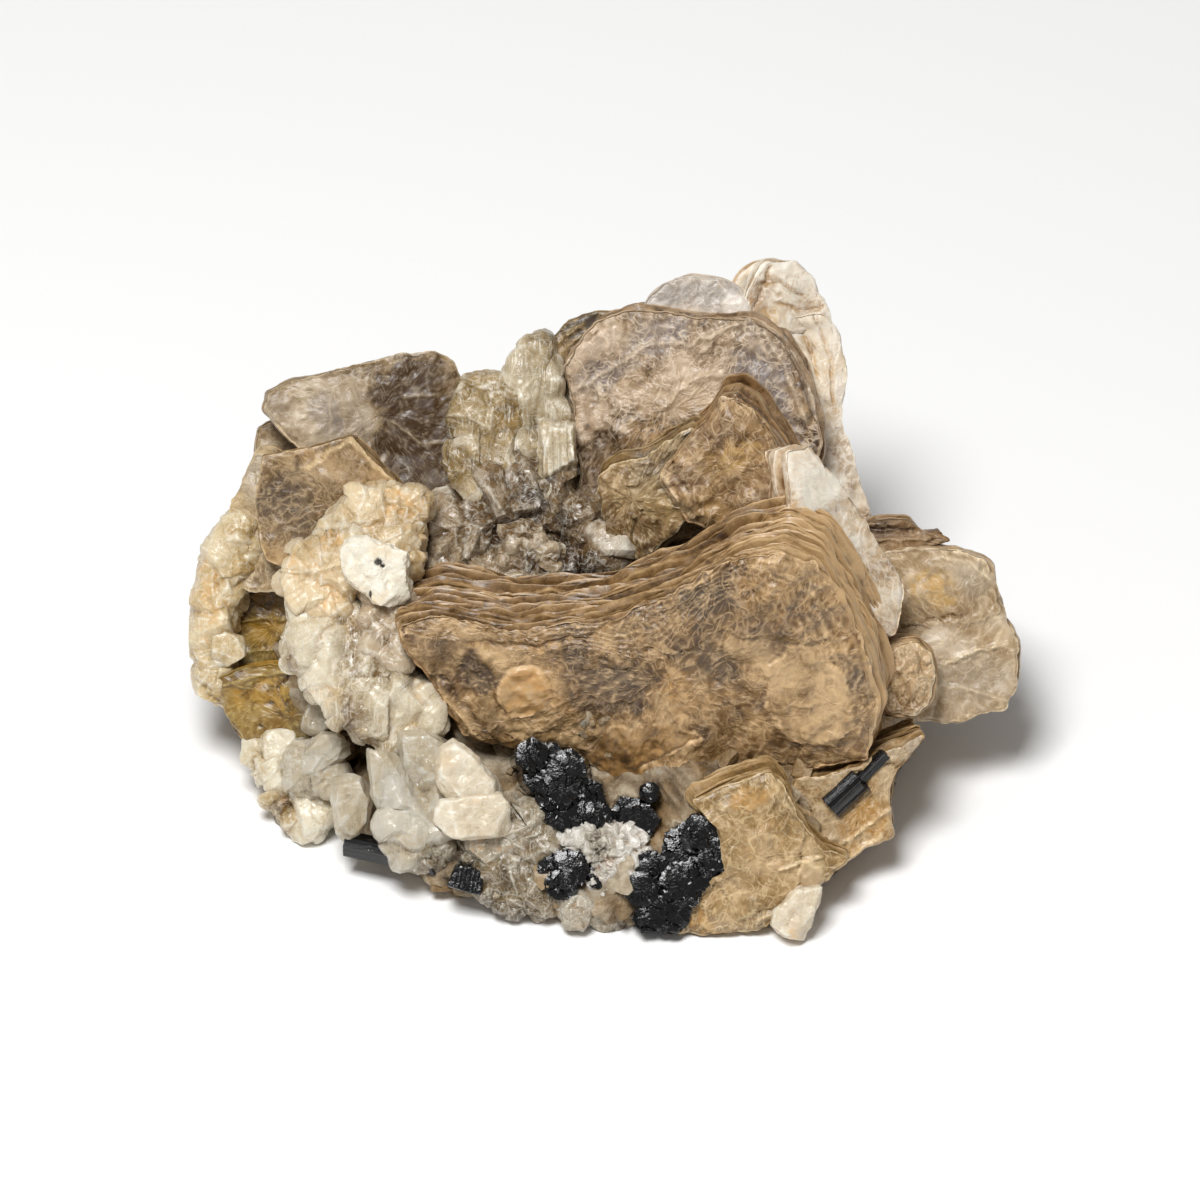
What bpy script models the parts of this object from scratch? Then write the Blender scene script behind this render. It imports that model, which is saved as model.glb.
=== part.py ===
"""Mica crystal: a hand specimen of mica books grown on feldspar and quartz with black tourmaline.

Every crystal is placed on the specimen's display face. On that face u runs to the right, v runs up and
w runs out towards the eye, all in millimetres from the middle of the face. The face leans back, so that
the specimen stands on a flat break while its mica faces look up at the viewer.
"""

import math

import bmesh
import bpy
import numpy as np
from mathutils import Euler, Matrix, Vector, noise

MM = 0.001
EYE_HEIGHT_ANGLE = math.radians(40.0)
FACE_MIDDLE = (-0.45, -0.25, 20.0)
GAP = 0.35
BREAK_HEIGHT = 0.0
BELOW_BREAK = 200.0
SAME_POINT = 0.01
SAME_POINT_AFTER_CUTS = 0.003
NARROWEST_CORNER = 0.55
LONGEST_MITRE = 2.5
VOLUME_SHARE_OF_ERROR = 2e-4
VOLUME_ERROR = 1e-13

ROCK_HEART = (1.0, 4.0, 7.0)
CHIPS_PER_TURN = 3.4
CHIP_DEPTH = 0.10
SWELLS_PER_TURN = 2.3
SWELL_DEPTH = 0.06
CLEAVAGE_BLOCKS = [
    ((-8.0, 19.0, 10.0), (14.0, 10.0, 12.0), (0.3, 0.2, 0.5)),
    ((4.0, 22.0, 15.0), (12.0, 9.0, 14.0), (-0.2, 0.4, -0.3)),
    ((17.0, 21.0, 11.0), (13.0, 11.0, 12.0), (0.5, -0.2, 0.2)),
    ((-20.0, 15.0, 11.0), (12.0, 12.0, 10.0), (-0.3, 0.3, 0.9)),
    ((25.0, 11.0, 7.0), (12.0, 12.0, 11.0), (0.2, 0.6, 0.4)),
    ((-27.0, 6.0, 6.0), (10.0, 12.0, 10.0), (0.1, 0.5, -0.4)),
    ((7.0, 20.0, 4.0), (16.0, 10.0, 9.0), (0.1, 0.1, -0.1)),
]
ROCK_LUMPS = [
    ((1.0, -3.0, 2.0), (30.5, 26.0, 9.0)),
    ((0.0, 3.0, 7.0), (27.0, 14.0, 12.5)),
    ((-6.0, 14.0, 15.0), (10.0, 7.0, 12.5)),
    ((9.0, 18.0, 17.0), (16.0, 8.0, 14.0)),
    ((-20.0, 15.0, 16.0), (12.5, 8.0, 11.0)),
    ((24.0, 3.0, 9.0), (11.0, 10.0, 9.0)),
    ((-26.0, 1.0, 8.0), (10.0, 9.0, 8.0)),
    ((2.0, -7.0, 12.0), (19.0, 8.0, 11.0)),
    ((14.0, -14.0, 5.0), (14.0, 11.0, 8.0)),
]

MICA_BROWN = ("mica_brown", (0.36, 0.26, 0.17), 0.35)
MICA_TAN = ("mica_tan", (0.52, 0.38, 0.24), 0.35)
MICA_PALE = ("mica_pale", (0.74, 0.64, 0.52), 0.35)
MICA_GOLD = ("mica_gold", (0.42, 0.28, 0.09), 0.35)
FELDSPAR_CREAM = ("feldspar_cream", (0.78, 0.68, 0.50), 0.6)
FELDSPAR_WHITE = ("feldspar_white", (0.88, 0.84, 0.76), 0.6)
QUARTZ_GREY = ("quartz_grey", (0.62, 0.58, 0.50), 0.25)
MATRIX_ROCK = ("matrix_rock", (0.58, 0.47, 0.32), 0.7)
TOURMALINE_BLACK = ("tourmaline_black", (0.012, 0.012, 0.014), 0.2)


def clear_scene():
    for old in list(bpy.data.objects):
        bpy.data.objects.remove(old)


def new_collection(name, shown):
    group = bpy.data.collections.new(name)
    bpy.context.scene.collection.children.link(group)
    group.hide_render = not shown
    return group


def display_to_row():
    """The matrix that takes (u, v, w) on the display face to x, y, z in metres, standing on the break."""
    tilt = Matrix.Rotation(math.pi / 2 - EYE_HEIGHT_ANGLE, 4, "X")
    return Matrix.Scale(MM, 4) @ Matrix.Translation(FACE_MIDDLE) @ tilt


def material(finish):
    name, colour, roughness = finish
    found = bpy.data.materials.get(name)
    if found:
        return found
    made = bpy.data.materials.new(name)
    made.use_nodes = True
    shader = made.node_tree.nodes["Principled BSDF"]
    shader.inputs["Base Color"].default_value = (*colour, 1.0)
    shader.inputs["Roughness"].default_value = roughness
    shader.inputs["Metallic"].default_value = 0.0
    return made


def as_object(name, mesh_builder, finish, to_row=True):
    """Ends a bmesh as a named object. to_row says that its points are still on the display face."""
    mesh = bpy.data.meshes.new(name)
    bmesh.ops.recalc_face_normals(mesh_builder, faces=mesh_builder.faces[:])
    mesh_builder.to_mesh(mesh)
    mesh_builder.free()
    if to_row:
        mesh.transform(display_to_row())
    else:
        mesh.transform(Matrix.Scale(MM, 4))
    made = bpy.data.objects.new(name, mesh)
    made.data.materials.append(material(finish))
    SPECIMEN.objects.link(made)
    return made


def anticlockwise(outline):
    points = np.array(outline, float)
    ahead = np.roll(points, -1, axis=0)
    area = (points[:, 0] * ahead[:, 1] - ahead[:, 0] * points[:, 1]).sum()
    return points if area > 0 else points[::-1]


def outward(points):
    """For each corner of an outline, the step that moves both of its edges out by one."""
    ahead = np.roll(points, -1, axis=0) - points
    ahead /= np.linalg.norm(ahead, axis=1)[:, None]
    normal = np.stack([ahead[:, 1], -ahead[:, 0]], axis=1)
    before = np.roll(normal, 1, axis=0)
    bisector = normal + before
    bisector /= np.linalg.norm(bisector, axis=1)[:, None]
    spread = np.maximum((bisector * normal).sum(axis=1), NARROWEST_CORNER)
    return bisector / spread[:, None]


def lofted(rings):
    """A closed bmesh whose skin runs through rings of equally many points, capped at both ends."""
    made = bmesh.new()
    loops = [[made.verts.new(point) for point in ring] for ring in rings]
    made.faces.new(loops[0])
    for upper, lower in zip(loops, loops[1:]):
        for i in range(len(upper)):
            j = (i + 1) % len(upper)
            made.faces.new((upper[i], upper[j], lower[j], lower[i]))
    made.faces.new(list(reversed(loops[-1])))
    return made


def book(name, outline, level, lean, thickness, finish, steps):
    """A mica book: its cleavage face has this outline on the display face, and its sheets lie behind it.

    level is w at the outline's middle, lean is how w grows along u and v, and steps are how far each
    successive pack of sheets stands out past the face.
    """
    face = anticlockwise(outline)
    middle = face.mean(axis=0)
    lean = np.array(lean)
    inward = np.array([*lean, -1.0]) / math.sqrt(1 + lean @ lean)
    pack = thickness / len(steps)
    rings = []
    for number, step in enumerate(steps):
        flat = face + outward(face) * step
        sheet = np.column_stack([flat, level + (flat - middle) @ lean])
        rings += [sheet + inward * pack * number, sheet + inward * pack * (number + 1)]
    made = lofted(rings)
    bmesh.ops.remove_doubles(made, verts=made.verts[:], dist=SAME_POINT)
    piece = cluster(name, [made], finish)

    wide = face + outward(face) * (max(steps) + GAP)
    sheet = np.column_stack([wide, level + (wide - middle) @ lean])
    hollow = lofted([sheet - inward * GAP, sheet + inward * (thickness + GAP)])
    ROCK_SEATS[name] = [as_cutter(as_object(name + "_rock_seat", hollow, MATRIX_ROCK))]
    return piece


def as_cutter(made):
    """Moves an object among the seats, which only cut and are never shown."""
    for home in list(made.users_collection):
        home.objects.unlink(made)
    CUTTERS.objects.link(made)
    made.display_type = "WIRE"
    made.hide_render = True
    return made


def block_mesh(outline, level, depth, lean=(0.0, 0.0), front=0.72, back=0.8, bevel=0.28):
    """The convex block behind an outline: a smaller front face, the outline a bevel behind, and a back."""
    flat = anticlockwise(outline)
    middle = flat.mean(axis=0)
    made = bmesh.new()
    for share, behind in ((front, 0.0), (1.0, bevel * depth), (back, depth)):
        ring = middle + (flat - middle) * share
        height = level + (ring - middle) @ np.array(lean) - behind
        for point in np.column_stack([ring, height]):
            made.verts.new(point)
    hull(made)
    return made


def hull(made):
    """Wraps a bmesh's points in their convex hull and drops what lies inside it."""
    found = bmesh.ops.convex_hull(made, input=made.verts[:])
    inside = [e for e in found["geom_interior"] if isinstance(e, bmesh.types.BMVert)]
    bmesh.ops.delete(made, geom=inside, context="VERTS")
    bmesh.ops.dissolve_limit(made, angle_limit=math.radians(1.0), verts=made.verts[:], edges=made.edges[:])


def block(name, outline, level, depth, finish, **shape):
    return cluster(name, [block_mesh(outline, level, depth, **shape)], finish)


def prism_mesh(base, tip, radius, sides=6, taper=0.85, point=0.35, turn=0.0):
    """A crystal prism from base to tip on the display face, with a blunt pyramid at the tip."""
    base, tip = Vector(base), Vector(tip)
    along = tip - base
    shoulder = 1 - min(point * radius * 2 / along.length, 0.5)
    made = bmesh.new()
    for share, size in ((0.0, 1.0), (shoulder, 1.0), (1.0, 1 - taper)):
        for i in range(sides):
            angle = turn + 2 * math.pi * i / sides
            offset = Vector((math.cos(angle), math.sin(angle), 0.0)) * radius * size
            made.verts.new(base + along * share + along.to_track_quat("Z", "Y") @ offset)
    hull(made)
    return made


def cluster(name, meshes, finish):
    """One crystal, or several overlapping ones grown into one solid, which leave seats for later cuts."""
    parts = [as_object(f"{name}_{number}", mesh, finish) for number, mesh in enumerate(meshes)]
    SEATS[name] = [grown(part) for part in parts]
    made = parts[0]
    made.name = name
    for other in parts[1:]:
        boolean(made, other, "UNION")
        bpy.data.objects.remove(other)
    return made


def volume(mesh):
    shape = bmesh.new()
    shape.from_mesh(mesh)
    amount = shape.calc_volume(signed=True)
    shape.free()
    return amount


def combined(target, other, operation, solver):
    """The mesh that a Boolean modifier gives on target."""
    step = target.modifiers.new(operation.lower(), "BOOLEAN")
    step.operation = operation
    step.solver = solver
    step.object = other
    bpy.context.view_layer.update()
    graph = bpy.context.evaluated_depsgraph_get()
    result = bpy.data.meshes.new_from_object(target.evaluated_get(graph))
    target.modifiers.clear()
    return result


def plausible(result, before, tool, operation):
    """Whether a result's volume can be right: a cut takes, or a union adds, at most the tool's volume."""
    slack = VOLUME_SHARE_OF_ERROR * abs(before) + VOLUME_ERROR
    change = volume(result) - before
    if operation == "UNION":
        return -slack <= change <= tool + slack
    return -tool - slack <= change <= slack


def boolean(target, other, operation):
    """Joins other to target or cuts it away. A result that can't be right is made by the other solver."""
    before, tool = volume(target.data), volume(other.data)
    result = combined(target, other, operation, "EXACT")
    if not plausible(result, before, tool, operation):
        bpy.data.meshes.remove(result)
        result = combined(target, other, operation, "MANIFOLD")
    old = target.data
    target.data = result
    bpy.data.meshes.remove(old)


def grown(piece):
    """A copy of a piece whose faces all stand out by the gap: the cutter of its own seat."""
    cutter = as_cutter(bpy.data.objects.new(piece.name + "_seat", piece.data.copy()))
    shape = bmesh.new()
    shape.from_mesh(cutter.data)
    shape.normal_update()
    moves = [v.normal * min(v.calc_shell_factor(), LONGEST_MITRE) * GAP * MM for v in shape.verts]
    for vertex, move in zip(shape.verts, moves):
        vertex.co += move
    shape.to_mesh(cutter.data)
    shape.free()
    return cutter


def corners(piece):
    points = np.array([piece.matrix_world @ v.co for v in piece.data.vertices])
    return points.min(axis=0), points.max(axis=0)


def near(a, b):
    low_a, high_a = corners(a)
    low_b, high_b = corners(b)
    return bool((low_a < high_b).all() and (low_b < high_a).all())


def keep_largest(piece):
    """Drops the slivers that a cut leaves loose, and keeps the largest body."""
    shape = bmesh.new()
    shape.from_mesh(piece.data)
    left = set(shape.verts)
    bodies = []
    while left:
        stack = [left.pop()]
        body = set(stack)
        while stack:
            for edge in stack.pop().link_edges:
                for vertex in edge.verts:
                    if vertex in left:
                        left.discard(vertex)
                        body.add(vertex)
                        stack.append(vertex)
        bodies.append(body)
    largest = max(bodies, key=size_of)
    loose = [v for body in bodies if body is not largest for v in body]
    bmesh.ops.delete(shape, geom=loose, context="VERTS")
    bmesh.ops.remove_doubles(shape, verts=shape.verts[:], dist=SAME_POINT_AFTER_CUTS * MM)
    shape.to_mesh(piece.data)
    shape.free()


def size_of(body):
    points = np.array([v.co for v in body])
    return float(np.prod(points.max(axis=0) - points.min(axis=0) + 1e-9))


def seat(pieces):
    """Each piece is cut to fit round those that stand in front of it, with a hairline gap between them."""
    in_front = []
    for piece in pieces:
        for name in in_front:
            cutters = ROCK_SEATS.get(name, SEATS[name]) if piece.name == "feldspar_matrix" else SEATS[name]
            for cutter in cutters:
                if near(piece, cutter):
                    boolean(piece, cutter, "DIFFERENCE")
        keep_largest(piece)
        in_front.append(piece.name)


def front_books():
    """The wide brown book across the front, the pale shoulder behind it and the tan books at its foot."""
    front = book(
        "front_book",
        [(-20.3, -3.0), (-16.5, -2.0), (-9.0, -3.3), (0.0, -2.6), (7.0, -0.2), (13.0, 3.4), (18.0, 4.6),
         (21.5, 3.0), (24.2, -1.5), (26.5, -6.0), (27.5, -11.0), (26.6, -16.2), (19.0, -17.2),
         (12.5, -16.8), (6.0, -20.2), (1.5, -18.6), (-3.0, -15.0), (-10.0, -14.2), (-13.8, -13.4)],
        level=11.0, lean=(0.12, 0.6), thickness=10.0, finish=MICA_BROWN,
        steps=(0.0, 0.9, 0.3, 1.2),
    )
    shoulder = book(
        "shoulder_book",
        [(18.2, 14.6), (20.6, 15.4), (23.4, 12.2), (26.4, 8.0), (28.8, 4.4), (30.4, 1.2), (29.5, -4.0),
         (25.0, -2.0), (19.0, 6.0)],
        level=9.5, lean=(-0.6, 0.1), thickness=5.0, finish=MICA_PALE, steps=(0.0, 0.4),
    )
    foot = book(
        "foot_book",
        [(9.0, -20.0), (12.0, -18.5), (16.8, -16.8), (18.2, -18.0), (19.6, -21.5), (22.0, -24.5),
         (24.8, -25.8), (22.6, -27.8), (19.0, -30.5), (16.5, -32.6), (11.0, -33.6), (6.2, -33.2),
         (9.0, -30.0), (12.4, -26.5), (11.6, -22.5)],
        level=11.2, lean=(-0.05, 0.22), thickness=7.0, finish=MICA_TAN, steps=(0.0, 0.5, 0.2),
    )
    corner = book(
        "right_foot_book",
        [(19.0, -18.0), (24.0, -17.0), (28.2, -15.0), (32.6, -13.2), (29.6, -17.2), (29.0, -20.0),
         (29.4, -23.6), (26.4, -24.8), (23.4, -27.4), (20.0, -26.0)],
        level=6.8, lean=(-0.15, 0.2), thickness=8.0, finish=MICA_TAN, steps=(0.0, 0.6, 0.1),
    )
    return front, shoulder, foot, corner


def right_books():
    """The far right book with its stepped top, and the small rounded book that sits in front of it."""
    rounded = book(
        "round_book",
        [(28.0, -6.2), (29.6, -4.4), (31.8, -4.0), (33.2, -5.4), (33.7, -7.6), (33.2, -10.0),
         (31.6, -11.6), (29.0, -11.4), (27.9, -9.2)],
        level=4.6, lean=(-0.1, 0.1), thickness=5.0, finish=MICA_TAN, steps=(0.0, 0.7, 1.0),
    )
    far = book(
        "far_right_book",
        [(24.0, 4.0), (30.0, 5.2), (35.6, 5.2), (38.8, 4.2), (39.9, 1.5), (40.6, -1.0), (42.0, -4.5),
         (42.0, -8.2), (40.8, -10.9), (38.4, -11.4), (36.0, -12.4), (33.0, -12.2), (27.0, -12.0),
         (23.0, -8.0)],
        level=-1.2, lean=(-0.03, 0.06), thickness=8.0, finish=MICA_TAN,
        steps=(0.0, 0.25, -0.3, 0.15),
    )
    ledge = book(
        "right_ledge_book",
        [(24.0, 5.5), (27.4, 8.1), (31.0, 8.2), (32.4, 6.8), (35.5, 5.9), (30.0, 4.4)],
        level=-2.4, lean=(-0.1, 0.12), thickness=6.0, finish=MICA_BROWN, steps=(0.0, -0.3),
    )
    return rounded, far, ledge


def back_books():
    """The books that stand along the top of the specimen, from the middle to the right corner."""
    middle = book(
        "middle_book",
        [(5.6, 12.2), (10.2, 17.5), (11.8, 20.0), (13.4, 20.3), (15.2, 19.0), (18.0, 15.0), (20.2, 10.4),
         (17.0, 7.0), (12.0, 6.4), (8.4, 7.8)],
        level=6.4, lean=(0.15, 0.3), thickness=8.0, finish=MICA_TAN, steps=(0.0, 0.6, 0.2, 0.8),
    )
    middle_steps = book(
        "middle_step_book",
        [(-0.1, 12.4), (1.6, 13.8), (4.0, 14.0), (9.5, 17.5), (9.0, 8.0), (4.0, 3.6), (1.2, 4.4),
         (0.6, 6.8), (0.0, 9.6)],
        level=2.2, lean=(0.2, 0.3), thickness=6.5, finish=MICA_TAN, steps=(0.0, 0.5, -0.2),
    )
    large = book(
        "back_right_book",
        [(-3.9, 23.4), (-2.4, 25.6), (0.0, 28.0), (3.6, 29.2), (9.0, 28.2), (15.0, 28.2), (18.2, 26.4),
         (20.2, 23.0), (21.2, 20.0), (22.2, 16.8), (21.0, 10.0), (10.0, 6.0), (0.4, 5.4), (-3.0, 7.4),
         (-1.8, 13.0), (-2.8, 16.0), (-2.6, 19.0)],
        level=-2.2, lean=(0.1, 0.12), thickness=7.0, finish=MICA_BROWN, steps=(0.0, 0.3, -0.2, 0.1),
    )
    lobe = book(
        "top_lobe_book",
        [(4.2, 29.4), (4.8, 30.4), (6.2, 31.8), (9.0, 32.6), (12.0, 32.4), (14.2, 31.2), (15.4, 28.6),
         (14.5, 24.0), (5.0, 24.0)],
        level=-4.8, lean=(0.0, 0.05), thickness=4.5, finish=MICA_PALE, steps=(0.0, -0.2),
    )
    pale = book(
        "pale_top_book",
        [(14.5, 30.2), (15.4, 32.6), (16.8, 34.1), (20.0, 34.2), (21.6, 32.4), (23.0, 29.6), (23.6, 27.0),
         (19.0, 26.6), (15.0, 27.4)],
        level=-6.4, lean=(-0.35, 0.0), thickness=6.0, finish=MICA_PALE, steps=(0.0, -0.2, 0.1),
    )
    corner = book(
        "right_corner_book",
        [(17.0, 28.0), (22.8, 29.4), (24.2, 26.6), (24.9, 23.0), (24.6, 20.4), (24.2, 18.0), (25.4, 15.6),
         (25.9, 12.8), (26.6, 10.4), (27.5, 8.6), (26.6, 7.0), (20.0, 6.0), (17.0, 14.0)],
        level=-8.0, lean=(-0.25, 0.05), thickness=6.5, finish=MICA_PALE, steps=(0.0, 0.3, 0.0),
    )
    dark = book(
        "dark_back_book",
        [(-5.6, 24.0), (-4.9, 26.4), (-3.0, 28.2), (-0.6, 29.1), (2.0, 28.9), (1.0, 24.0), (0.0, 17.0),
         (-4.4, 18.2), (-6.4, 21.5)],
        level=-4.6, lean=(0.05, 0.03), thickness=5.0, finish=MICA_GOLD, steps=(0.0, -0.2, -0.4),
    )
    return middle, middle_steps, lobe, pale, large, corner, dark


def left_books():
    """The books of the left side: the corner book, the broad one behind it and the golden one below."""
    corner = book(
        "left_front_book",
        [(-24.8, 16.3), (-22.0, 13.4), (-19.8, 11.0), (-18.0, 7.0), (-22.0, 2.0), (-29.0, 2.0),
         (-33.5, 4.0), (-34.6, 9.6), (-33.8, 14.4), (-29.8, 15.0)],
        level=1.6, lean=(0.12, 0.2), thickness=6.5, finish=MICA_BROWN, steps=(0.0, 0.7, 0.2, 1.0),
    )
    edge = book(
        "left_edge_book",
        [(-33.0, 15.0), (-34.6, 14.8), (-35.8, 12.0), (-37.0, 9.8), (-37.8, 5.6), (-38.6, 3.0),
         (-35.0, 0.6), (-28.0, 1.6), (-27.0, 11.0)],
        level=-2.6, lean=(0.1, 0.05), thickness=6.0, finish=MICA_TAN, steps=(0.0, -0.3, 0.1),
    )
    broad = book(
        "left_back_book",
        [(-33.8, 19.0), (-33.4, 20.8), (-31.0, 22.0), (-25.5, 23.3), (-20.0, 24.8), (-16.6, 25.0),
         (-14.6, 24.0), (-13.8, 22.0), (-13.8, 12.0), (-14.6, 6.6), (-19.0, 8.0), (-30.2, 15.0)],
        level=-5.2, lean=(-0.06, 0.05), thickness=6.0, finish=MICA_BROWN, steps=(0.0, 0.25, -0.2, 0.0),
    )
    under = book(
        "left_under_book",
        [(-34.4, 17.6), (-34.8, 14.4), (-31.5, 12.0), (-26.0, 14.0), (-24.0, 20.0)],
        level=-8.4, lean=(0.0, 0.0), thickness=4.0, finish=MICA_TAN, steps=(0.0, -0.3),
    )
    gold = book(
        "gold_book",
        [(-38.6, -8.0), (-36.0, -6.8), (-28.0, -5.8), (-25.0, -9.0), (-22.6, -12.6), (-25.0, -16.0),
         (-30.0, -18.5), (-34.6, -16.0), (-37.2, -12.6)],
        level=-3.0, lean=(0.12, 0.1), thickness=7.0, finish=MICA_GOLD, steps=(0.0, 0.3, -0.2, 0.2),
    )
    recess = book(
        "gold_recess_book",
        [(-37.0, 2.0), (-29.0, 2.6), (-27.0, -2.0), (-26.0, -7.6), (-37.4, -8.4), (-39.6, -3.0)],
        level=-7.0, lean=(0.2, 0.1), thickness=6.0, finish=MICA_GOLD, steps=(0.0, 0.5),
    )
    return corner, edge, broad, under, gold, recess


def chip_and_crust():
    """The white feldspar chip and the cream crust that it sits on, over the left front book."""
    chip = block(
        "feldspar_chip",
        [(-26.3, 5.2), (-25.5, 6.8), (-24.2, 7.0), (-18.7, 4.6), (-18.2, 2.0), (-18.0, 0.8),
         (-19.0, -0.6), (-20.4, -1.1), (-22.6, -0.4), (-25.8, 2.2)],
        level=9.4, depth=4.4, finish=FELDSPAR_WHITE, lean=(0.05, 0.1), front=0.86, back=0.8, bevel=0.2,
    )
    crust = cluster(
        "feldspar_crust",
        [
            block_mesh([(-27.6, 8.0), (-25.5, 9.6), (-21.5, 12.0), (-20.0, 11.4), (-17.8, 9.2),
                        (-18.2, 5.0), (-22.0, 3.0), (-27.4, 5.4)], 6.8, 5.0, bevel=0.2, front=0.8),
            block_mesh([(-31.0, 1.8), (-29.4, 4.2), (-26.0, 6.2), (-23.0, 3.0), (-24.5, -0.5),
                        (-28.8, -1.0)],
                       6.6, 5.0, bevel=0.25, front=0.75),
            block_mesh([(-19.5, 6.0), (-17.8, 6.4), (-17.6, 0.8), (-19.2, -0.4), (-22.0, 1.0)], 6.4, 4.0),
        ],
        FELDSPAR_CREAM,
    )
    return chip, crust


def blade_band():
    """The curved band of pale albite blades that runs down the left of the front book."""
    stations = [
        (-28.4, -1.8, 3.4, 6.6),
        (-26.8, -5.2, 3.5, 7.0),
        (-24.8, -8.2, 3.9, 7.6),
        (-21.8, -10.2, 3.9, 7.8),
        (-18.6, -11.0, 3.7, 7.8),
        (-16.6, -13.2, 3.0, 7.6),
    ]
    meshes = []
    for number, (u, v, radius, level) in enumerate(stations):
        angles = [2 * math.pi * (i + 0.37 * number) / 6 for i in range(6)]
        outline = [(u + radius * math.cos(a), v + 0.92 * radius * math.sin(a)) for a in angles]
        meshes.append(block_mesh(outline, level, 5.0, front=0.7, back=0.85, bevel=0.3))
    return cluster("albite_band", meshes, QUARTZ_GREY)


def quartz_crystals():
    """The glassy crystals of the lower left: a stout group, and three single ones beside it."""
    group = cluster(
        "quartz_group",
        [
            block_mesh([(-23.4, -14.5), (-22.6, -13.8), (-20.8, -14.4), (-18.0, -17.0), (-17.0, -21.6),
                        (-19.6, -23.0), (-21.8, -21.6), (-23.0, -19.4)], 9.6, 6.0, front=0.7, bevel=0.3),
            block_mesh([(-19.4, -12.8), (-16.0, -12.7), (-14.6, -13.6), (-15.0, -19.5), (-17.6, -21.0),
                        (-19.6, -17.0)], 9.4, 6.0, front=0.72, bevel=0.3, lean=(0.1, 0.1)),
            block_mesh([(-19.5, -19.0), (-15.5, -18.0), (-14.5, -21.5), (-16.0, -23.2),
                        (-19.5, -23.2)], 9.0, 5.0),
        ],
        QUARTZ_GREY,
    )
    rounded = block(
        "quartz_round",
        [(-30.0, -11.6), (-29.0, -9.9), (-27.6, -9.5), (-26.4, -10.4), (-26.4, -12.6), (-28.6, -14.0),
         (-30.0, -13.2)],
        level=0.8, depth=4.0, finish=QUARTZ_GREY, front=0.8, bevel=0.25,
    )
    striated = block(
        "quartz_striated",
        [(-29.8, -15.0), (-28.0, -13.0), (-26.0, -12.9), (-24.8, -14.2), (-24.7, -15.4), (-27.0, -17.0),
         (-30.0, -16.6)],
        level=2.8, depth=4.5, finish=QUARTZ_GREY, lean=(0.15, 0.0), front=0.75, bevel=0.3,
    )
    long_one = block(
        "quartz_long",
        [(-26.8, -17.6), (-25.0, -16.8), (-22.8, -17.0), (-22.4, -19.4), (-23.0, -22.4), (-24.2, -24.0),
         (-25.5, -24.6), (-26.4, -23.7), (-27.0, -20.0)],
        level=5.8, depth=5.5, finish=QUARTZ_GREY, front=0.6, bevel=0.35,
    )
    return group, rounded, striated, long_one


def feldspar_blocks():
    """The two cream feldspar blocks beside the quartz, the small ones under them and one in the foot."""
    upper = block(
        "feldspar_block_upper",
        [(-15.7, -14.5), (-14.4, -13.7), (-13.0, -14.5), (-11.0, -16.5), (-9.5, -18.6), (-9.6, -20.2),
         (-14.0, -20.0), (-15.7, -18.9), (-16.0, -17.0)],
        level=12.2, depth=5.0, finish=FELDSPAR_WHITE, lean=(-0.1, 0.1), front=0.72, bevel=0.35,
    )
    lower = block(
        "feldspar_block_lower",
        [(-15.6, -20.0), (-9.6, -19.6), (-8.5, -21.4), (-8.8, -23.2), (-15.0, -23.3), (-16.0, -21.8)],
        level=12.2, depth=5.5, finish=FELDSPAR_WHITE, lean=(0.0, 0.1), front=0.75, bevel=0.3,
    )
    small = block(
        "feldspar_block_small",
        [(-12.4, -23.6), (-8.9, -23.2), (-8.4, -24.8), (-9.5, -25.8), (-11.8, -26.0), (-12.8, -24.8)],
        level=9.8, depth=4.0, finish=FELDSPAR_WHITE, front=0.7,
    )
    foot = block(
        "feldspar_block_foot",
        [(-4.6, -29.4), (-1.8, -28.9), (-0.4, -30.6), (-0.6, -32.0), (-1.6, -33.0), (-3.0, -32.6)],
        level=9.8, depth=3.5, finish=FELDSPAR_WHITE, front=0.7,
    )
    triangle = block(
        "feldspar_triangle",
        [(17.0, -30.6), (20.0, -28.6), (22.3, -28.4), (21.4, -31.5), (20.3, -34.0), (18.0, -33.6),
         (16.6, -32.6)],
        level=12.6, depth=4.5, finish=FELDSPAR_CREAM, front=0.75, bevel=0.25,
    )
    return upper, lower, small, foot, triangle


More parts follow.
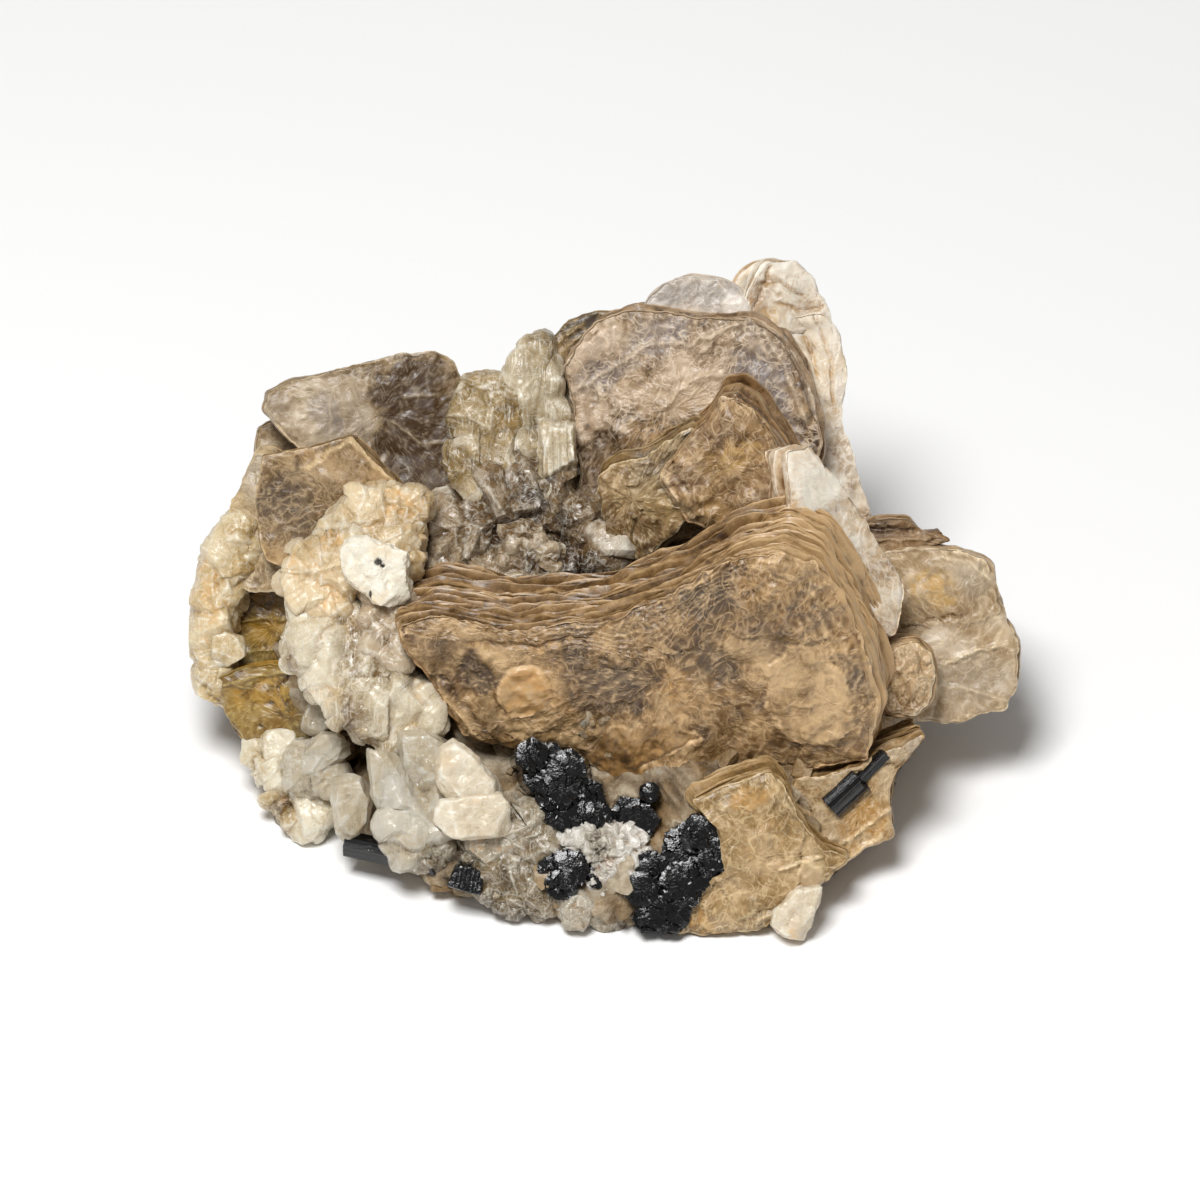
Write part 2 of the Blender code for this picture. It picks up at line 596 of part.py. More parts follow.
def tourmalines():
    """The black tourmaline: clusters of prisms in the foot, a stub, a lying bar and one in a slit."""
    upper = cluster(
        "tourmaline_upper",
        [
            prism_mesh((-4.8, -17.2, 2.0), (-4.8, -17.6, 9.0), 3.6, sides=9, taper=0.35, point=0.2),
            prism_mesh((-8.0, -15.2, 3.0), (-7.6, -15.6, 7.6), 1.7, sides=6, taper=0.4),
            prism_mesh((-1.4, -18.4, 3.0), (-1.2, -18.8, 8.2), 2.0, sides=6, taper=0.4, turn=0.3),
            prism_mesh((-2.6, -21.6, 2.0), (-2.2, -21.9, 8.4), 2.4, sides=7, taper=0.4, turn=0.5),
        ],
        TOURMALINE_BLACK,
    )
    middle = cluster(
        "tourmaline_middle",
        [
            prism_mesh((3.0, -21.6, 2.0), (3.4, -21.9, 8.2), 2.5, sides=6, taper=0.4, turn=0.2),
            prism_mesh((4.6, -18.6, 2.0), (4.4, -18.4, 6.4), 1.2, sides=5, taper=0.4),
        ],
        TOURMALINE_BLACK,
    )
    lower = cluster(
        "tourmaline_lower",
        [
            prism_mesh((-3.6, -26.6, 3.0), (-3.4, -27.0, 9.2), 2.1, sides=7, taper=0.35, turn=0.4),
            prism_mesh((-1.4, -27.4, 3.0), (-1.3, -27.8, 8.8), 1.7, sides=6, taper=0.4),
        ],
        TOURMALINE_BLACK,
    )
    right = cluster(
        "tourmaline_right",
        [
            prism_mesh((6.5, -27.2, 3.0), (6.9, -28.0, 11.0), 3.7, sides=9, taper=0.3, point=0.2),
            prism_mesh((10.0, -24.6, 3.0), (10.4, -25.0, 10.2), 3.1, sides=7, taper=0.35, turn=0.3),
            prism_mesh((10.0, -22.4, 3.0), (10.6, -22.8, 9.4), 1.8, sides=6, taper=0.4),
        ],
        TOURMALINE_BLACK,
    )
    stub = block(
        "tourmaline_stub",
        [(-14.4, -26.2), (-12.6, -26.4), (-11.3, -27.2), (-11.8, -29.4), (-13.0, -29.2),
         (-15.4, -28.4)],
        level=9.8, depth=5.0, finish=TOURMALINE_BLACK, front=0.93, back=1.0, bevel=0.1,
    )
    bar = cluster(
        "tourmaline_bar", [prism_mesh((-25.2, -24.3, 3.4), (-16.2, -26.2, 6.2), 1.3, sides=8, taper=0.4)],
        TOURMALINE_BLACK,
    )
    slit = cluster(
        "tourmaline_slit", [prism_mesh((23.4, -20.2, 7.2), (28.4, -15.2, 6.6), 1.3, sides=6, taper=0.5)],
        TOURMALINE_BLACK,
    )
    return upper, middle, lower, right, stub, bar, slit


def scatter(places, depth, sides=5, bevel=0.28):
    """Small blocks at (u, v, radius, level) places, each turned and leaning its own way."""
    meshes = []
    for number, (u, v, radius, level) in enumerate(places):
        count = sides - number % 2
        angles = [2 * math.pi * (i + 0.31 * number) / count for i in range(count)]
        outline = [(u + radius * math.cos(a), v + radius * math.sin(a)) for a in angles]
        lean = (0.3 * math.sin(number * 2.1), 0.3 * math.cos(number * 1.7))
        meshes.append(block_mesh(outline, level, depth, lean=lean, front=0.6, back=0.85, bevel=bevel))
    return meshes


def foot_crystals():
    """The sugary albite between the tourmalines, the cream feldspars of the foot and the golden crust."""
    sugary = cluster(
        "sugary_albite",
        scatter([(0.6, -24.4, 2.6, 8.4), (2.8, -25.6, 2.4, 8.4), (0.8, -26.8, 2.2, 8.6),
                 (2.2, -28.4, 2.4, 8.6), (-1.8, -24.0, 1.8, 7.4)], 6.0),
        FELDSPAR_WHITE,
    )
    cream = cluster(
        "foot_feldspars",
        scatter([(-17.2, -24.6, 2.7, 7.2), (-9.0, -28.0, 2.7, 8.6), (-6.0, -29.9, 2.1, 8.6),
                 (-10.4, -26.0, 2.0, 8.2), (-13.6, -24.6, 2.2, 7.6), (1.0, -30.4, 1.9, 8.4)], 5.0),
        FELDSPAR_CREAM,
    )
    golden = cluster(
        "golden_crust",
        scatter([(-31.4, -16.6, 2.4, -3.0), (-29.6, -19.2, 2.4, -1.8), (-27.8, -21.4, 2.2, -0.4),
                 (-28.0, -17.2, 2.4, -0.2)], 5.0),
        FELDSPAR_CREAM,
    )
    return sugary, cream, golden


def albite_column():
    """The upright albite at the back of the hollow: a smooth pale column and a rough one beside it."""
    smooth = cluster(
        "albite_column",
        [
            block_mesh([(-8.6, 24.8), (-7.4, 26.0), (-5.4, 26.6), (-5.2, 24.0), (-6.0, 21.6),
                        (-4.4, 18.0), (-4.8, 12.0), (-8.8, 11.6), (-9.2, 18.0)],
                       -1.0, 6.0, lean=(0.0, 0.15), front=0.75, bevel=0.3),
            block_mesh([(-6.0, 18.2), (-2.6, 17.8), (-2.0, 13.6), (-3.8, 11.6), (-6.2, 12.0)],
                       0.8, 5.0, bevel=0.25),
        ],
        FELDSPAR_CREAM,
    )
    rough = cluster(
        "albite_rough_column",
        [
            block_mesh([(-14.4, 21.2), (-12.8, 22.2), (-9.4, 21.8), (-8.6, 19.0), (-8.8, 13.0),
                        (-14.0, 13.5), (-15.0, 19.0)], -1.4, 6.0, lean=(0.0, 0.1), front=0.75),
            block_mesh([(-14.8, 15.6), (-12.6, 16.2), (-8.8, 15.0), (-8.6, 12.0), (-11.0, 9.8),
                        (-13.2, 11.0), (-15.2, 13.6)], 0.4, 5.5, front=0.7),
        ],
        FELDSPAR_CREAM,
    )
    return smooth, rough


def hollow_crystals():
    """The small crystals that fill the floor of the hollow between the books."""
    return cluster(
        "hollow_crystals",
        scatter([(-8.2, 6.8, 2.8, 0.6), (-5.4, 5.8, 2.8, 0.4), (-11.6, 6.6, 2.4, -1.2),
                 (-7.0, 10.4, 2.9, -2.0), (-15.4, 3.6, 2.4, 0.8), (-12.4, 0.8, 2.4, 1.4),
                 (-8.0, 1.4, 2.6, 2.0), (-4.2, 2.6, 2.6, 0.8), (-12.2, 4.2, 2.4, 0.0),
                 (-1.6, 4.8, 2.4, -0.6)], 6.5),
        QUARTZ_GREY,
    )


def left_crust():
    """The golden cream crust of small feldspars along the left edge."""
    return cluster(
        "left_crust",
        scatter([(-37.4, 6.2, 2.0, -2.2), (-37.6, 3.4, 2.5, -3.0), (-38.4, 0.6, 2.4, -4.0),
                 (-38.4, -2.2, 2.4, -4.4), (-38.6, -4.8, 2.8, -3.6), (-39.2, -6.6, 2.1, -4.4)], 6.0),
        FELDSPAR_CREAM,
    )


def rock_reach(direction):
    """How far the rock reaches from its heart in a direction: its farthest lump, chipped into facets."""
    reach = 0.0
    for centre, radii in ROCK_LUMPS:
        scaled = Vector(d / r for d, r in zip(direction, radii))
        start = Vector((h - c) / r for h, c, r in zip(ROCK_HEART, centre, radii))
        a, b, c = scaled.dot(scaled), scaled.dot(start), start.dot(start) - 1.0
        inside = b * b - a * c
        if inside > 0:
            reach = max(reach, (-b + math.sqrt(inside)) / a)
    nearest, second = noise.voronoi(direction * CHIPS_PER_TURN)[0][:2]
    chip = CHIP_DEPTH * (second - nearest - 1.0)
    swell = SWELL_DEPTH * noise.noise(direction * SWELLS_PER_TURN)
    return reach * (1.0 + chip + swell)


def matrix():
    """The rock that carries every crystal, with blocks of feldspar standing out of its broken back."""
    made = bmesh.new()
    bmesh.ops.create_icosphere(made, subdivisions=3, radius=1.0)
    for vertex in made.verts:
        vertex.co = Vector(ROCK_HEART) + vertex.co * rock_reach(vertex.co.normalized())
    rock = as_object("feldspar_matrix", made, MATRIX_ROCK, to_row=False)
    for number, (centre, size, turn) in enumerate(CLEAVAGE_BLOCKS):
        made = bmesh.new()
        bmesh.ops.create_cube(made, size=1.0)
        turned = Euler(turn).to_matrix().to_4x4() @ Matrix.Diagonal((*size, 1.0))
        bmesh.ops.transform(made, matrix=Matrix.Translation(centre) @ turned, verts=made.verts[:])
        other = as_object(f"cleavage_block_{number}", made, MATRIX_ROCK, to_row=False)
        boolean(rock, other, "UNION")
        bpy.data.objects.remove(other)
    return rock


def trim_break(piece):
    """Cuts away what reaches below the flat break."""
    low, high = corners(piece)
    if low[2] > BREAK_HEIGHT * MM:
        return
    box = bmesh.new()
    bmesh.ops.create_cube(box, size=BELOW_BREAK)
    bmesh.ops.translate(box, verts=box.verts[:], vec=(0.0, 0.0, BREAK_HEIGHT - BELOW_BREAK / 2))
    cutter = as_object("below_the_break", box, MATRIX_ROCK, to_row=False)
    boolean(piece, cutter, "DIFFERENCE")
    bpy.data.objects.remove(cutter)


clear_scene()
SPECIMEN = new_collection("mica_crystal", shown=True)
CUTTERS = new_collection("seats", shown=False)
SEATS = {}
ROCK_SEATS = {}

chip, crust = chip_and_crust()
front, shoulder, foot, right_foot = front_books()
rounded, far, ledge = right_books()
middle, middle_steps, lobe, pale, large, right_corner, dark = back_books()
left_front, left_edge, broad, under, gold, recess = left_books()
band = blade_band()
group, quartz_round, striated, quartz_long = quartz_crystals()
upper_block, lower_block, small_block, foot_block, triangle = feldspar_blocks()
t_upper, t_middle, t_lower, t_right, t_stub, t_bar, t_slit = tourmalines()
sugary, cream, golden = foot_crystals()
smooth_column, rough_column = albite_column()
hollow = hollow_crystals()
crust_left = left_crust()
rock = matrix()

FRONT_TO_BACK = [
    chip, upper_block, lower_block, triangle, small_block, t_slit, front, crust, group, band, foot,
    t_right, t_upper, t_middle, t_lower, t_stub, t_bar, foot_block, sugary, cream, quartz_long, striated,
    quartz_round, golden, right_foot, rounded, shoulder, middle, left_front, crust_left, gold,
    middle_steps, far, ledge, smooth_column, rough_column, hollow, left_edge, recess, broad, under, large,
    lobe, pale, right_corner, dark, rock,
]
for piece in FRONT_TO_BACK:
    trim_break(piece)
seat(FRONT_TO_BACK)
for cutter in list(CUTTERS.objects):
    bpy.data.objects.remove(cutter)
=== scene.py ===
"""The looks of the mica crystal: each crystal's fine surface and finish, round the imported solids.

Places are (u, v, w) in millimetres on the display face, as in the specimen's solids: u runs to the right,
v runs up the face and w runs out towards the eye. to_row() takes them to the row's metres.
"""

import math

import bpy
import numpy as np
from mathutils import Euler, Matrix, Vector


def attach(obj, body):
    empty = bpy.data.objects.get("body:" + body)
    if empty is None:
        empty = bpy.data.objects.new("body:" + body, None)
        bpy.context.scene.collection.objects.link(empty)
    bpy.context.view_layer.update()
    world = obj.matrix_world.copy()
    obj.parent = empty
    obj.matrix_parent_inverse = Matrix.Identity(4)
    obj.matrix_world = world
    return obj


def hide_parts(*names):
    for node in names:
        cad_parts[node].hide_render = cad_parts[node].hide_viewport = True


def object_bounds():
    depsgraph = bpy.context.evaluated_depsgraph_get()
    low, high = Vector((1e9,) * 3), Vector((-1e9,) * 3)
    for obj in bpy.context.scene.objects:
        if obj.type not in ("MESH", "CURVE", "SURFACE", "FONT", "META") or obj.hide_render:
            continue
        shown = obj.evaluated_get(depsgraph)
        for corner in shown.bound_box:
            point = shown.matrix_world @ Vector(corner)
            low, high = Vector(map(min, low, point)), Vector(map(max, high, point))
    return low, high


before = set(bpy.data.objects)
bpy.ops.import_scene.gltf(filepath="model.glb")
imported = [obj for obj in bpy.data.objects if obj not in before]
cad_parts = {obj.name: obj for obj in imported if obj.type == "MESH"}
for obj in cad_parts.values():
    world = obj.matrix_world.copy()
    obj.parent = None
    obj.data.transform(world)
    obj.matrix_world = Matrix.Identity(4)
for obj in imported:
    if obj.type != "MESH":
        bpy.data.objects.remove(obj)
CAD_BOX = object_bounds()

MM = 0.001
EYE_HEIGHT_ANGLE = math.radians(40.0)
FACE_MIDDLE = np.array([-0.45, -0.25, 20.0])
FRAME_WIDTH = 120.0
LENS = 400.0
SENSOR = 36.0
FULL_TURN = 2.0 * math.pi
GOLDEN_ANGLE = 2.39996
FAR = 1e9
TINY = 1e-12

ALONG_V = np.array([0.0, math.sin(EYE_HEIGHT_ANGLE), math.cos(EYE_HEIGHT_ANGLE)])
ALONG_W = np.array([0.0, -math.cos(EYE_HEIGHT_ANGLE), math.sin(EYE_HEIGHT_ANGLE)])


def to_row(points):
    """Display face to row: x = u, and y and z are v and w turned back by the eye's height angle."""
    u, v, w = points[..., 0:1], points[..., 1:2], points[..., 2:3]
    return (np.array([1.0, 0.0, 0.0]) * u + ALONG_V * v + ALONG_W * w + FACE_MIDDLE) * MM


def lattice(cell, seed):
    """A fixed number from 0 to 1 at each whole place, by mixing the bits of its three coordinates."""
    x, y, z = (cell[..., i] for i in range(3))
    mixed = x * np.uint64(374761393) + y * np.uint64(668265263) + z * np.uint64(2246822519)
    mixed = (mixed + np.uint64(seed * 40503 + 12345)) & np.uint64(0xFFFFFFFF)
    mixed = ((mixed ^ (mixed >> np.uint64(15))) * np.uint64(2246822519)) & np.uint64(0xFFFFFFFF)
    mixed = ((mixed ^ (mixed >> np.uint64(13))) * np.uint64(3266489917)) & np.uint64(0xFFFFFFFF)
    return (mixed ^ (mixed >> np.uint64(16))) / 2.0**32


def noise3(points, seed=0):
    """Smooth noise from -1 to 1: lattice numbers blended by 3t^2 - 2t^3 along each direction."""
    base = np.floor(points)
    part = points - base
    part = part * part * (3.0 - 2.0 * part)
    cell = base.astype(np.int64).astype(np.uint64)
    total = 0.0
    for corner in np.ndindex(2, 2, 2):
        share = np.prod(np.where(corner, part, 1.0 - part), axis=-1)
        total = total + share * lattice(cell + np.array(corner, np.uint64), seed)
    return 2.0 * total - 1.0


def fractal(points, octaves=4, seed=0):
    """Noise added to itself at twice the detail and half the strength, octave by octave."""
    return sum(noise3(points * 2.0**i + 7.3 * i, seed + i) * 0.5**i for i in range(octaves))


def cells(points, seed=0):
    """Points scattered one to a unit cell: the distance to the nearest, and its number."""
    base = np.floor(points)
    first = np.full(points.shape[:-1], FAR)
    number = np.zeros(points.shape[:-1])
    for step in np.ndindex(3, 3, 3):
        cell = base + np.array(step) - 1.0
        key = cell.astype(np.int64).astype(np.uint64)
        spot = cell + np.stack([lattice(key, seed + i) for i in range(3)], axis=-1)
        apart = np.linalg.norm(points - spot, axis=-1)
        number = np.where(apart < first, lattice(key, seed + 9), number)
        first = np.minimum(apart, first)
    return first, number


HEAP_SLOPE = 1.8


def heap(points, size, seed):
    """Crystals grown into each other: blunt pyramids of many sizes and turns, one to a cell of that size.

    Each is its own tilted top, minus HEAP_SLOPE times what the largest of its three turned coordinates has
    past the top's half width, and the highest counts. Gives the height, the crystal's number, a mark round
    its top, and one along the creases between crystals.
    """
    scaled = points / size
    base = np.floor(scaled)
    height = np.full(points.shape[:-1], -9.0)
    below = height.copy()
    number = np.zeros(points.shape[:-1])
    edge = number.copy()
    for step in np.ndindex(3, 3, 3):
        cell = base + np.array(step) - 1.0
        key = cell.astype(np.int64).astype(np.uint64)
        draw = [lattice(key, seed + i) for i in range(9)]
        off = scaled - cell - np.stack(draw[:3], axis=-1)
        axes = turned_by(np.stack(draw[3:7], axis=-1) - 0.5)
        long = 0.8 + 0.5 * np.stack([draw[7], draw[8], draw[0]], axis=-1)
        at = np.sort(np.abs(np.einsum("...ij,...j->...i", axes, off)) / long, axis=-1)
        wide = 0.34 + 0.26 * draw[1]
        tilt = 1.1 * ((np.stack(draw[6:9], axis=-1) - 0.5) * off).sum(axis=-1)
        rise = 0.4 * draw[4] + 0.05 + tilt - HEAP_SLOPE * np.maximum(at[..., 2] - wide, 0.0)
        above = rise > height
        below = np.where(above, height, np.maximum(below, rise))
        number = np.where(above, draw[4], number)
        edge = np.where(above, np.exp(-(((at[..., 2] - wide) / 0.03) ** 2)), edge)
        height = np.maximum(height, rise)
    crease = np.exp(-(((height - below) / 0.05) ** 2))
    return height * size, number, edge * (1.0 - crease), crease


def grid_normals(placed):
    """Unit normals of a grid of rings, from the differences along and across it, away from its middle."""
    down = np.gradient(placed, axis=0)
    round_ = np.roll(placed, -1, axis=1) - np.roll(placed, 1, axis=1)
    normal = np.cross(down, round_)
    normal /= np.linalg.norm(normal, axis=-1, keepdims=True) + TINY
    out = (normal * (placed - placed.mean(axis=(0, 1)))).sum()
    return normal if out > 0.0 else -normal


def smooth_step(low, high, value):
    """0 below low and 1 above high, and 3t^2 - 2t^3 between them."""
    t = np.clip((value - low) / (high - low), 0.0, 1.0)
    return t * t * (3.0 - 2.0 * t)


def deep(flat, depth=0.0):
    """Puts a third coordinate on points of the face, for noise that is read on it."""
    return np.concatenate([flat, np.full(flat.shape[:-1] + (1,), depth)], axis=-1)


def anticlockwise(outline):
    """An outline's corners in the order that goes round it anticlockwise, by the sign of its area."""
    points = np.array(outline, float)
    ahead = np.roll(points, -1, axis=0)
    area = (points[:, 0] * ahead[:, 1] - ahead[:, 0] * points[:, 1]).sum()
    return points if area > 0 else points[::-1]


def even_outline(outline, count, cut=0.14):
    """count evenly spaced points round an outline, each of its corners cut twice at a share of its sides."""
    points = anticlockwise(outline)
    for _ in range(2):
        ahead = np.roll(points, -1, axis=0)
        points = np.stack([points + (ahead - points) * cut, ahead + (points - ahead) * cut], 1).reshape(-1, 2)
    closed = np.vstack([points, points[:1]])
    run = np.concatenate([[0.0], np.cumsum(np.linalg.norm(np.diff(closed, axis=0), axis=1))])
    places = np.linspace(0.0, run[-1], count, endpoint=False)
    return np.stack([np.interp(places, run, closed[:, i]) for i in range(2)], axis=1)


def outward(points):
    """The unit normals that point out of a closed, anticlockwise, evenly spaced outline."""
    along = np.roll(points, -1, axis=0) - np.roll(points, 1, axis=0)
    along /= np.linalg.norm(along, axis=1)[:, None] + TINY
    return np.stack([along[:, 1], -along[:, 0]], axis=1)


def inside_by(flat, outline):
    """Signed distance to an outline, plus inside: the least distance to its sides, and the crossing rule."""
    corners = anticlockwise(outline)
    apart = np.full(flat.shape[:-1], FAR)
    crossings = np.zeros(flat.shape[:-1], int)
    for a, b in zip(corners, np.roll(corners, -1, axis=0)):
        side = b - a
        share = np.clip(((flat - a) @ side) / (side @ side), 0.0, 1.0)
        apart = np.minimum(apart, np.linalg.norm(flat - a - share[..., None] * side, axis=-1))
        spans = (a[1] > flat[..., 1]) != (b[1] > flat[..., 1])
        rise = side[1] if side[1] else 1e-9
        left = flat[..., 0] < a[0] + (flat[..., 1] - a[1]) / rise * side[0]
        crossings += spans & left
    return np.where(crossings % 2 == 1, apart, -apart)


def line_distance(flat, points):
    """The least distance from the face's points to a line through given places."""
    apart = np.full(flat.shape[:-1], FAR)
    for a, b in zip(np.array(points[:-1], float), np.array(points[1:], float)):
        share = np.clip(((flat - a) @ (b - a)) / ((b - a) @ (b - a)), 0.0, 1.0)
        apart = np.minimum(apart, np.linalg.norm(flat - a - share[..., None] * (b - a), axis=-1))
    return apart


def blob(flat, centre, radii, turn=0.0, soft=0.35, ragged=0.3):
    """1 in an ellipse and 0 outside, its edge softened and broken by noise."""
    c, s = math.cos(turn), math.sin(turn)
    off = (flat - np.array(centre)) @ np.array([[c, -s], [s, c]])
    apart = np.linalg.norm(off / np.array(radii), axis=-1) + ragged * fractal(deep(flat * 0.8, centre[0]), 3)
    return 1.0 - smooth_step(1.0 - soft, 1.0 + soft, apart)


MARKS = ("tone", "gold", "grey", "edge", "lace", "speck")


def grid_faces(count, rows, columns):
    """Corner numbers of the quads round count closed grids, and of the fans at their two poles."""
    ring = np.arange(columns)
    ahead = np.roll(ring, -1)
    row = np.arange(rows - 1)[:, None] * columns
    quads = np.stack([row + ring, row + columns + ring, row + columns + ahead, row + ahead], axis=-1)
    top, bottom = rows * columns, rows * columns + 1
    last = (rows - 1) * columns
    fans = np.concatenate([
        np.stack([np.full(columns, top), ring, ahead], axis=-1),
        np.stack([np.full(columns, bottom), last + ahead, last + ring], axis=-1),
    ])
    starts = np.arange(count)[:, None, None] * (rows * columns + 2)
    return (quads.reshape(1, -1, 4) + starts).reshape(-1, 4), (fans[None] + starts).reshape(-1, 3)


def build(name, shells, finish, sharp=50.0):
    """One mesh from closed shells. A shell is rings of points, (copies, rows, columns, 3) in row metres, with
    its own places in millimetres for the finish's patterns, and its marks. Points past the solids' own box,
    on any side, are held to it, which also gives the flat break that the specimen stands on."""
    points, places, marks, quads, fans = [], [], {mark: [] for mark in MARKS}, [], []
    start = 0
    for grid, place, given in shells:
        grid = np.clip(grid, *CAD_BOX)
        count, rows, columns = grid.shape[:3]
        four, three = grid_faces(count, rows, columns)
        corner = [grid.reshape(count, -1, 3)[:, four[: len(four) // count, i]] for i in (0, 1, 2)]
        if (np.cross(corner[0], corner[1]) * corner[2]).sum() < 0.0:
            four, three = four[:, ::-1], three[:, ::-1]
        quads.append(four + start)
        fans.append(three + start)

        def with_poles(values):
            flat = values.reshape(count, rows * columns, -1)
            ends = [flat[:, :columns].mean(axis=1), flat[:, -columns:].mean(axis=1)]
            return np.concatenate([flat, np.stack(ends, axis=1)], axis=1).reshape(-1, flat.shape[-1])

        points.append(with_poles(grid))
        places.append(with_poles(place))
        for mark in MARKS:
            marks[mark].append(with_poles(np.broadcast_to(given.get(mark, 0.0), (count, rows, columns))))
        start += len(points[-1])
    points, quads, fans = np.concatenate(points), np.concatenate(quads), np.concatenate(fans)
    mesh = bpy.data.meshes.new(name)
    mesh.vertices.add(len(points))
    mesh.vertices.foreach_set("co", points.astype(np.float32).ravel())
    mesh.loops.add(quads.size + fans.size)
    mesh.loops.foreach_set("vertex_index", np.concatenate([quads.ravel(), fans.ravel()]).astype(np.int32))
    mesh.polygons.add(len(quads) + len(fans))
    sizes = np.concatenate([np.full(len(quads), 4), np.full(len(fans), 3)])
    mesh.polygons.foreach_set("loop_start", np.concatenate([[0], np.cumsum(sizes)[:-1]]).astype(np.int32))
    mesh.update(calc_edges=True)
    mesh.attributes.new("place", "FLOAT_VECTOR", "POINT").data.foreach_set(
        "vector", np.concatenate(places).astype(np.float32).ravel())
    for mark in MARKS:
        layer = mesh.attributes.new(mark, "FLOAT", "POINT")
        layer.data.foreach_set("value", np.concatenate(marks[mark]).astype(np.float32).ravel())
    mesh.shade_smooth()
    mesh.set_sharp_from_angle(angle=math.radians(sharp))
    mesh.validate()
    piece = bpy.data.objects.new(name, mesh)
    bpy.context.scene.collection.objects.link(piece)
    piece.data.materials.append(finish)
    return piece


def carry(piece, node):
    """Lets a piece stand for a solid, whose own part it hides, and ride with the specimen."""
    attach(piece, "root")
    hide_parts(node)


def one_copy(marks):
    """The marks of a shell that is there once, as build() takes them."""
    return {mark: value[None] for mark, value in marks.items()}


FLAKE_LEVELS = 5.0


def flakes(flat, size, seed):
    """Thin sheets broken off a face: slow noise cut into whole levels. Gives the height in sheets, from -1 to
    1, and a mark that is 1 along each sheet's broken edge."""
    bent = deep(flat / size, seed * 3.7)
    bent = bent + 0.35 * fractal(bent * 2.3, 3, seed + 5)[..., None]
    rise = fractal(bent, 3, seed) * FLAKE_LEVELS
    whole = np.floor(rise)
    part = rise - whole
    height = (whole + smooth_step(0.0, 0.22, part)) / FLAKE_LEVELS
    return height, ridge(part, 0.24, 0.10)


def ridge(value, middle, width):
    """1 where a value is at its middle, falling off as exp(-((value - middle) / width)^2)."""
    return np.exp(-(((value - middle) / width) ** 2))


def add_marks(marks, given, cover):
    """Adds amounts to a face's marks where a sheet, blob, disc or line covers it."""
    for mark, amount in given.items():
        marks[mark] = marks[mark] + amount * cover


def two_noises(flat, first, second, seed):
    """A shift in u and v, from noise read on the face at two depths."""
    return np.stack([noise3(deep(flat, first), seed), noise3(deep(flat, second), seed)], -1)


def relief(flat, look, seed):
    """The height and the marks of a mica face: swells, flakes and crumple, then what its look lists.

    look["sheets"] are (outline, height, marks), look["blobs"] are (centre, radii, turn, height, marks),
    look["discs"] are (centre, radius, height, marks) and look["lines"] are (points, width, height, marks).
    Marks are added to the face's own.
    """
    swell = fractal(deep(flat / 9.0, seed), 3, seed)
    broken, rim = flakes(flat, look.get("flake_size", 6.0), seed)
    crumple = np.abs(fractal(deep(flat / 1.6, seed), 4, seed + 20))
    height = look.get("swell", 0.35) * swell + look.get("flake", 0.45) * broken
    height = height - look.get("crumple", 0.12) * crumple
    size = look.get("loop_size", 2.4)
    lace = look.get("lace", 0.6)
    bent = flat + 0.9 * two_noises(flat / size, 4.0, 6.0, seed)
    fine = ridge(fractal(deep(bent / size * 2.1, seed), 1, seed + 35), 0.0, 0.06)
    loops = np.maximum(ridge(fractal(deep(bent / size, seed), 2, seed + 30), 0.0, 0.05), 0.7 * fine)
    loops = loops * smooth_step(-0.35, 0.15, fractal(deep(flat / 5.0, 2.0), 3, seed + 33))
    height = height + 0.07 * loops * lace
    marks = {
        "tone": 0.5 + 0.16 * swell + 0.34 * fractal(deep(flat / 2.6, 3.0), 4, seed + 40),
        "gold": np.clip(0.9 * fractal(deep(flat / 5.0, 8.0), 3, seed + 60) - 0.15, 0.0, 1.0) * 0.5,
        "grey": np.clip(1.2 * fractal(deep(flat / 4.0, 5.0), 3, seed + 80) - 0.2, 0.0, 1.0) * 0.5,
        "edge": rim * look.get("rim", 0.55) + 0.4 * loops * lace,
        "lace": np.full(flat.shape[:-1], lace),
        "speck": np.zeros(flat.shape[:-1]),
    }
    for outline, rise, given in look.get("sheets", ()):
        inside = inside_by(flat, outline) + 0.55 * fractal(deep(flat * 0.6, rise), 4, seed + 7)
        cover = smooth_step(-0.12, 0.12, inside)
        height = height + 0.7 * rise * cover
        drawn = smooth_step(-0.3, 0.5, fractal(deep(flat * 0.35, 4.0 + rise), 3, seed + 17))
        calm = min(0.4 - given.get("lace", 0.0), 1.0)
        marks["edge"] = marks["edge"] * (1.0 - calm * cover) + 0.9 * drawn * ridge(inside, 0.1, 0.13)
        add_marks(marks, given, cover)
        marks["tone"] = marks["tone"] - 0.2 * drawn * ridge(inside, -0.25, 0.2)
    for centre, radii, turn, rise, given in look.get("blobs", ()):
        cover = blob(flat, centre, radii, turn)
        height = height + rise * cover
        add_marks(marks, given, cover)
    for centre, radius, rise, given in look.get("discs", ()):
        apart = np.linalg.norm(flat - centre, axis=-1) + 0.12 * fractal(deep(flat * 0.8, seed), 3, seed)
        cover = smooth_step(radius + 0.12, radius - 0.12, apart)
        marks["edge"] = marks["edge"] * (1.0 - 0.8 * cover) + 0.8 * ridge(apart, radius, 0.14)
        marks["tone"] = marks["tone"] - 0.25 * ridge(apart - radius, 0.3, 0.2)
        height = height + rise * cover
        add_marks(marks, given, cover)
    for points, width, rise, given in look.get("lines", ()):
        wander = flat + 0.22 * two_noises(flat, 1.0, 2.0, seed)
        cover = ridge(line_distance(wander, points), 0.0, width)
        height = height + rise * cover
        add_marks(marks, given, cover)
    return height, marks


